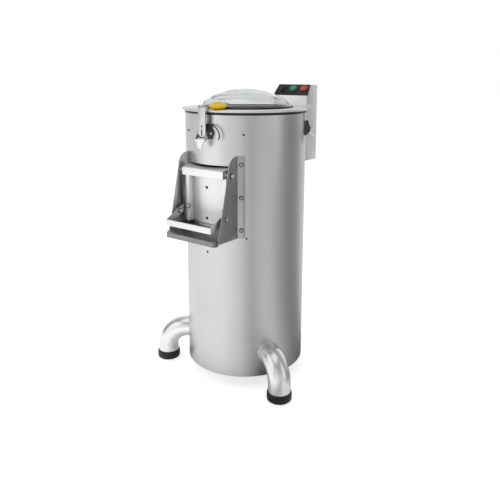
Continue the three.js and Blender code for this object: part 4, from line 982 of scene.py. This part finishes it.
def chute_plates():
    for name, side in SIDES:
        low = WING_INNER if side > 0 else -WING_OUTER
        sheet = side_plate(f"chute_wing_{name}", low, WING_OUTER - WING_INNER, wing_outline())
        for place in (DOOR_HINGE, BAIL_PIVOT):
            cut(sheet, bar("bolt_hole", BOLT_HOLE, at(90 * side, *place), at(110 * side, *place)))
        room = [(0, 500), (SEAT_RADIUS, 500), (SEAT_RADIUS, 800), (0, 800)]
        rounded(cut(sheet, turned("drum_room", room, FINE_STEPS)), 0.4, 2)
        start = -math.degrees(math.acos(WING_INNER / SEAT_RADIUS))
        flange = sector("flange", SEAT_RADIUS, FLANGE_FACE, CHUTE_LOW, CHUTE_HIGH, 0, FLANGE_SPREAD)
        cut(flange, corner_cutter(1, CHUTE_HIGH), corner_cutter(-1, CHUTE_LOW))
        turned_by(rounded(flange, 0.25, 2), start)
        if side < 0:
            mirrored(flange)
        # Painted shade and light: the right wing takes the darker copy of the steel and the left wing the
        # lighter bright steel, for how light falls on each side.
        finish = WING_PAINTED_SHADE if side > 0 else FINISHES["bright_steel"]
        wing = joined(f"chute_wing_{name}", sheet, flange)
        fitted(wing, "machine", "steel", f"chute_side_{name}", finish=finish)
        flange_screws(name, side, start + 3.5)


def corner_cutter(side, end):
    """What is cut from a flange's outer corner at a height, to leave it round."""
    centre = (16, end - 8 * side)
    low = min(centre[1], centre[1] + 12 * side)
    block = brick("corner", at(190, centre[0], low), at(212, 32, low + 12))
    return cut(block, bar("round", 8, at(180, *centre), at(220, *centre)))


def mirrored(obj):
    """Mirrors a piece to the machine's other side, with its faces still outwards."""
    pick(obj)
    obj.scale.x = -1
    bpy.ops.object.transform_apply(location=True, rotation=True, scale=True)
    edit(obj)
    return outwards(obj)


def flange_screws(name, side, angle):
    """Domed bright heads on dark washers, three to a flange. The dark washers are painted shadow round each
    head, and the heads take the wing's darker steel, which is painted shade.
    """
    for label, profile, finish in (("washers", SHADOW_WASHER_PROFILE, None), ("screws", HEAD_PROFILE, WING_PAINTED_SHADE)):
        parts = [on_wall(profile, angle, height, FLANGE_FACE) for height in FLANGE_SCREWS]
        piece = joined(f"flange_{label}_{name}", *parts)
        if side < 0:
            mirrored(piece)
        fitted(piece, "machine", "dark_steel", finish=finish)


def on_wall(profile, angle, height, seat):
    """A turned piece set on the drum's side at an angle in degrees, with its foot on a radius."""
    piece = turned("wall_piece", profile, SCREW_STEPS)
    turned_by(piece, 90, "Y")
    piece.location = Vector((seat * MM, 0, height * MM))
    settle(piece)
    return turned_by(piece, angle)


def wall_screw(angle, height, radius, seat, rise):
    """A round-headed screw with a hexagon socket, seated on the drum's side at an angle in degrees."""
    profile = [(0, -1), (radius, -1), (radius, 0.9 * rise / 3), (0.82 * radius, 0.7 * rise)]
    profile += [(0.55 * radius, 0.93 * rise), (0.5 * radius, rise), (0.42 * radius, rise)]
    profile += [(0.42 * radius, 0.4 * rise), (0, 0.4 * rise)]
    return on_wall(profile, angle, height, seat)


def drum_screws():
    """Liner bolts high on the drum, and the small screws under the chute."""
    parts = []
    for x, y, z, radius in DRUM_SCREWS:
        angle = math.degrees(math.atan2(y, x))
        parts.append(wall_screw(angle, z, radius, BARE_RADIUS, 2.6))
    fitted(joined("drum_screws", *parts), "machine", "dark_steel")


def side_bolts():
    """Hinge bolts of the door and pivot bolts of the bail: radius, start, end and rounding of each part."""
    rows = (
        ("door_hinge_bolt", DOOR_HINGE, ((4, 79, 103.3, 0), (6.4, 104.3, 108.4, 2.8))),
        ("bail_bolt", BAIL_PIVOT, ((4, 88, 103.3, 0), (4.6, 104, 106.6, 1.8), (5.6, 84.8, 87.8, 2.2))),
    )
    for name, side in SIDES:
        for node, place, sizes in rows:
            parts = []
            for radius, start, end, curve in sizes:
                part = bar("bolt_part", radius, at(start * side, *place), at(end * side, *place))
                parts.append(rounded(part, curve, 6) if curve else smoothed(part))
            bolt = joined(f"{node}_piece_{name}", *parts)
            fitted(bolt, "machine", "bright_steel", f"{node}_{name}", finish=ZINC)


def side_washers():
    """The dark washers under those bolts: radius, start and end of each."""
    for label, place, sizes in (
        ("hinge_washers", DOOR_HINGE, ((8.6, 103.3, 104.4),)),
        ("pivot_washers", BAIL_PIVOT, ((6.2, 103.3, 104.1), (8, 87.7, 88.7))),
    ):
        parts = []
        for side in (-1, 1):
            for radius, start, end in sizes:
                disc = bar("washer", radius, at(start * side, *place), at(end * side, *place))
                parts.append(rounded(disc, 0.25, 2))
        fitted(joined(label, *parts), "machine", "dark_steel")


def jamb_screws():
    """A domed screw on a dark washer low on each side of the door's frame."""
    for label, radius, start, end, curve, slot, finish in (
        ("jamb_washers", 7.6, -206.1, -207, 0.2, "dark_steel", None),
        ("jamb_screws", 5, -206.8, -209.4, 1.8, "bright_steel", ZINC),
    ):
        bars = [bar("jamb_part", radius, at(x, start, JAMB_HEIGHT), at(x, end, JAMB_HEIGHT)) for x in JAMBS]
        parts = [rounded(item, curve, 5) for item in bars]
        fitted(joined(label, *parts), "door", slot, finish=finish)


def door_screws():
    """The two screws of the door's panel, on the panel's middle line."""
    for name, z in (("upper", 669), ("lower", 570)):
        screw = wall_screw(-90, z, 4.5, SEAT_RADIUS, 2.5)
        shank = smoothed(bar("shank", 2.5, at(0, -200.6, z), at(0, -194.3, z)))
        piece = joined(f"door_screw_piece_{name}", screw, shank)
        fitted(piece, "door", "dark_steel", f"door_screw_{name}")


# Control box

BOX_FRONT = 272
SLOPE_LOW = 942
SLOPE_RUN = 29
SLOPE_RISE = 38
CONTROL_SHARE = 0.58
PANEL_FACE = 2.6
SLOPE_ANGLE = math.atan2(SLOPE_RISE, SLOPE_RUN)
OVAL_STRETCH = 1.35
BUTTONS = (("start", 3, "green_plastic"), ("stop", 49, "red_plastic"))
TIMER_PLACE = -43

# Profiles of radius and rise above the panel, in millimetres
BEZEL_PROFILE = [(10.6, 0), (14, 0), (14, 1.2), (13.4, 2.2), (12.3, 2.8), (11.2, 3), (10.6, 2.6), (10.6, 0)]
BUTTON_PROFILE = [(0, -16), (3.7, -16), (3.7, 3.3), (9.4, 3.3), (10, 3.7), (10, 5), (9.5, 5.9), (8.4, 6.4)]
BUTTON_PROFILE += [(5, 6.7), (0, 6.8)]
TIMER_PROFILE = [(0, -16), (4, -16), (4, 0.3), (13, 0.3), (13, 2.4), (12.4, 3), (11, 3.2), (9.6, 4.4)]
TIMER_PROFILE += [(8.8, 5), (0, 5)]


def on_slope(obj, x):
    """Sets an upright piece, made on the axis, on the panel's face at x millimetres."""
    seat = at(x, BOX_FRONT + SLOPE_RUN * CONTROL_SHARE, SLOPE_LOW + SLOPE_RISE * CONTROL_SHARE)
    obj.location = Vector((0, -AXIS_Y, PANEL_FACE * MM))
    settle(obj)
    obj.rotation_euler = (SLOPE_ANGLE, 0, 0)
    settle(obj)
    obj.location = seat
    return settle(obj)


def oval(obj):
    """Stretches an upright turned piece across the panel."""
    obj.scale.x = OVAL_STRETCH
    return settle(obj)


def push_buttons():
    """The start and stop buttons, each in its darker bezel."""
    for name, x, colour in BUTTONS:
        bezel = on_slope(oval(turned(f"{name}_ring", BEZEL_PROFILE, KNOB_STEPS)), x)
        fitted(bezel, "machine", f"dark_{colour}", f"{name}_bezel")
        button = on_slope(oval(turned(f"{name}_cap", BUTTON_PROFILE, KNOB_STEPS)), x)
        fitted(button, f"{name}_press", colour, f"{name}_button")


def timer_knob():
    """A low round knob with a grip across it."""
    body = turned("timer_body", TIMER_PROFILE, KNOB_STEPS)
    grip = brick("grip", at(-3.5, -13, 1.5), at(3.5, 11, 8))
    bevelled(grip, 1.6, 4, lambda a, b: abs(a.z - b.z) > 5 * MM or min(a.z, b.z) > 7 * MM)
    timer = on_slope(joined("timer_grip", body, smoothed(grip)), TIMER_PLACE)
    fitted(timer, "timer", "black_plastic", "timer_knob")


# Sheet-metal pieces with rounded edges


def folded_pieces():
    """Flat-sided nodes as copies with rounded edges: name, node, body, rounding, slot and finish."""
    rows = (
        ("door_pan", "door_frame", "door", 0.7, "bright_steel", PAN),
        ("bail_strap", "bail", "chute_bail", 0.9, "bright_steel", None),
        # The slide's finish is painted shade.
        ("chute_slide", "chute_floor", "machine", 0.5, "steel", SLIDE_PAINTED_SHADE),
        ("control_housing", "box_housing", "machine", 1.2, "steel", BOX),
        ("housing_back", "box_back_cover", "machine", 0.4, "steel", BOX),
        ("panel_plate", "control_panel", "machine", 0.5, "black_plastic", None),
    )
    for name, node, body, width, slot, finish in rows:
        piece = softened(name, node, width)
        if node == "chute_floor":
            piece = joined(name, piece, lip_return(1), lip_return(-1))
        fitted(piece, body, slot, node, finish=finish)


def lip_return(side):
    """The curved end of the slide's lip, which turns back to the chute's side plate."""
    centre = (91.7, -276)
    outline = [(centre[0], -283), (centre[0], -285)]
    outline += arc(centre, (0, -9), (9, 0), range(1, 9), 8)
    outline += [(100.7, -266), (98.7, -266)]
    outline += arc(centre, (0, -7), (7, 0), range(8, 0, -1), 8)
    end = plate("lip_return", [at(x * side, y, 510) for x, y in outline], Vector((0, 0, 16 * MM)))
    return smoothed(end, 50)


def inner_pieces():
    """The pieces inside and below as merged copies with smooth round walls."""
    rows = {
        "machine": (
            "chamber_floor", "chamber_liner", "bottom_cover", "bearing_housing", "motor", "motor_plate",
            "upper_bearing", "lower_bearing", "shaft_seal", "drive_belt", "water_inlet", "cable_gland",
        ),
        "rotor": ("abrasive_disc", "main_shaft", "driven_pulley"),
        "motor_rotor": ("motor_shaft", "motor_pulley"),
        "door": ("door_liner", "door_seal"),
    }
    slots = {entry["node"]: entry["material_slot"] for entry in frame["record"]["subparts"]}
    for body, nodes in rows.items():
        for node in nodes:
            fitted(softened(f"{node}_piece", node, 0.3, 2), body, slots[node], node)


PANEL_WALL = 1.5
PANEL_LOW = 553
PANEL_HIGH = 703
PANEL_HALF = 68.7


def door_panel():
    """The panel cut from a ring of the drum's own radius: its front part between two upright planes."""
    inner = DRUM_RADIUS - PANEL_WALL
    wall = [(inner, PANEL_LOW), (DRUM_RADIUS, PANEL_LOW), (DRUM_RADIUS, PANEL_HIGH), (inner, PANEL_HIGH)]
    panel = turned("door_skin", wall + wall[:1], FINE_STEPS)
    edit(panel)
    for side in (-1, 1):
        choose_all()
        edge = at(PANEL_HALF * side, 0, 0)
        bpy.ops.mesh.bisect(plane_co=edge, plane_no=(side, 0, 0), use_fill=True, clear_outer=True)
    choose_all()
    bpy.ops.mesh.bisect(plane_co=at(0, 0, 0), plane_no=(0, 1, 0), clear_outer=True)
    leave_edit()
    fitted(smoothed(panel), "door", "bright_steel", "door_panel")


# Studio: tones are pairs of a share, from left, front or below to right, back or above, and a strength

SKY_TONES = ((0, 0.3), (0.1, 0.4), (0.25, 0.95), (0.42, 0.92), (0.56, 0.62), (0.66, 0.66), (0.8, 0.76),
             (0.9, 0.68), (0.96, 0.5), (1, 0.36))
GROUND_TONES = ((0, 1.12), (0.2, 1.18), (0.42, 0.96), (0.5, 0.72), (0.56, 0.48), (0.62, 0.54),
                (0.72, 0.82), (0.84, 0.82), (0.9, 0.62), (0.95, 0.46), (1, 0.3))
BEHIND_SHARES = ((0.72, 0), (0.9, 1))
CEILING_SHARES = ((0.62, 0), (0.85, 0.75))
CEILING_TONE = 0.3
FLOOR_SHOWN = 0.62
FLOOR_MIRRORED = 0.4
# A painted shadow on the floor under the machine, seen only in what mirrors the floor: its strength there,
# and the distances in metres from the floor's middle over which it fades out.
FLOOR_PAINTED_SHADOW = 0.06
MACHINE_SHADE = (0.26, 0.34)

CAMERA_YAW = math.radians(36.88)
CAMERA_PITCH = math.radians(-11.248)
CAMERA_ROLL = math.radians(-0.203)
CAMERA_PLACE = (1178.6, -1545.2, 1015.7)
CAMERA_LENS = 41.738
CAMERA_SHIFT = -0.12
SENSOR_WIDTH = 36

# Lamps: name, place in millimetres, width and height in metres, and power
LAMPS = (
    ("left_softbox", (-1500, -2600, 1500), 2.6, 2.8, 18),
    ("right_softbox", (2600, 300, 1500), 0.7, 2.6, 4),
    ("top_softbox", (0, -600, 3200), 2.6, 2.6, 14),
)
LAMP_TARGET = (0, 0, 500)


def camera():
    turn = Matrix.Rotation(CAMERA_YAW, 4, "Z")
    for angle, axis in ((CAMERA_PITCH, "X"), (CAMERA_ROLL, "Y"), (QUARTER_TURN, "X")):
        turn @= Matrix.Rotation(angle, 4, axis)
    data = bpy.data.cameras.new("camera")
    data.lens = CAMERA_LENS
    data.sensor_width = SENSOR_WIDTH
    data.shift_y = CAMERA_SHIFT
    eye = new_object("camera", data)
    eye.matrix_world = Matrix.Translation(at(*CAMERA_PLACE)) @ turn
    bpy.context.scene.camera = eye


def plain_colour(tree, colour):
    node = tree.nodes.new("ShaderNodeRGB")
    node.outputs["Color"].default_value = (*colour, 1)
    return node.outputs["Color"]


def studio_tone(tree, direction, tones):
    """The studio's tone by direction, with a dark ceiling and a white back, and that white."""
    turn = new_node(tree, "ShaderNodeMapping", Vector=direction, Rotation=(0, 0, -CAMERA_YAW))
    split = new_node(tree, "ShaderNodeSeparateXYZ", Vector=turn.outputs["Vector"])
    ramps = []
    for axis, stops in (("X", tones), ("Y", BEHIND_SHARES), ("Z", CEILING_SHARES)):
        sockets = {"Value": split.outputs[axis], "From Min": -1}
        share = new_node(tree, "ShaderNodeMapRange", **sockets).outputs["Result"]
        ramps.append(ramp_node(tree, share, [(place, grey(value)) for place, value in stops], "EASE"))
    side, behind, above = ramps
    white = plain_colour(tree, grey(1))
    walls = mix_node(tree, above, side, plain_colour(tree, grey(CEILING_TONE)))
    return mix_node(tree, behind, walls, white), white


def seen_share(tree):
    """1 for what is seen, straight or through the dome, and 0 for the rest."""
    path = tree.nodes.new("ShaderNodeLightPath").outputs
    return math_node(tree, "MAXIMUM", path["Is Camera Ray"], path["Is Transmission Ray"]).outputs["Value"]


def mirrored_share(tree):
    """1 for what is only mirrored, and 0 for the rest."""
    path = tree.nodes.new("ShaderNodeLightPath").outputs
    share = math_node(tree, "SUBTRACT", path["Is Glossy Ray"], path["Is Transmission Ray"])
    share.use_clamp = True
    return share.outputs["Value"]


def world():
    studio = bpy.data.worlds.new("studio")
    bpy.context.scene.world = studio
    studio.use_nodes = True
    tree = studio.node_tree
    place = tree.nodes.new("ShaderNodeTexCoord")
    room, white = studio_tone(tree, place.outputs["Generated"], SKY_TONES)
    shown = mix_node(tree, seen_share(tree), room, white)
    tree.links.new(shown, tree.nodes["Background"].inputs["Color"])


def floor_strength(finish, mirrored):
    """How bright the floor is: to what mirrors it, a painted shadow under the machine that fades to full
    round it.
    """
    spread = math_node(finish.tree, "LENGTH", finish.place, kind="ShaderNodeVectorMath")
    shade = finish.span(spread.outputs["Value"], FLOOR_PAINTED_SHADOW, FLOOR_MIRRORED, *MACHINE_SHADE)
    shown = math_node(finish.tree, "MULTIPLY", seen_share(finish.tree), FLOOR_SHOWN)
    strength = math_node(finish.tree, "MULTIPLY_ADD", mirrored, shade, shown.outputs["Value"])
    return strength.outputs["Value"]


def studio_floor():
    """A white floor that keeps the shadow, and shows the studio's tones to what mirrors it."""
    deselect()
    bpy.ops.mesh.primitive_plane_add(size=60, location=(0, 0, 0))
    floor = named("studio_floor")
    finish = Finish("white_floor")
    tree = finish.tree
    tone = finish.ramp(finish.noise(0.7, 2), (0.3, grey(0.88)), (0.7, grey(0.90)))
    away = math_node(tree, "NORMALIZE", finish.place, kind="ShaderNodeVectorMath")
    room, white = studio_tone(tree, away.outputs["Vector"], GROUND_TONES)
    mirrored = mirrored_share(tree)
    finish.set("Base Color", mix_node(tree, mirrored, tone, room))
    finish.set("Emission Color", mix_node(tree, mirrored, white, room))
    finish.set("Emission Strength", floor_strength(finish, mirrored))
    finish.set("Roughness", 0.9)
    finish.set("Specular IOR Level", 0)
    floor.data.materials.append(finish.material)


def lights():
    """Soft rectangular lamps that face the machine's middle."""
    for name, place, width, height, power in LAMPS:
        data = bpy.data.lights.new(name, "AREA")
        data.shape = "RECTANGLE"
        data.size = width
        data.size_y = height
        data.energy = power
        light = new_object(name, data)
        light.location = at(*place)
        light.rotation_euler = (at(*LAMP_TARGET) - at(*place)).to_track_quat("-Z", "Y").to_euler()


dress_nodes()
drum_wall()
legs()
dome()
lid_ring()
rubber_trims()
lid_knob()
clamps()
chute_plates()
side_bolts()
side_washers()
drum_screws()
door_screws()
jamb_screws()
push_buttons()
timer_knob()
folded_pieces()
inner_pieces()
door_panel()
camera()
world()
studio_floor()
lights()

bpy.context.scene.view_settings.view_transform = "Standard"
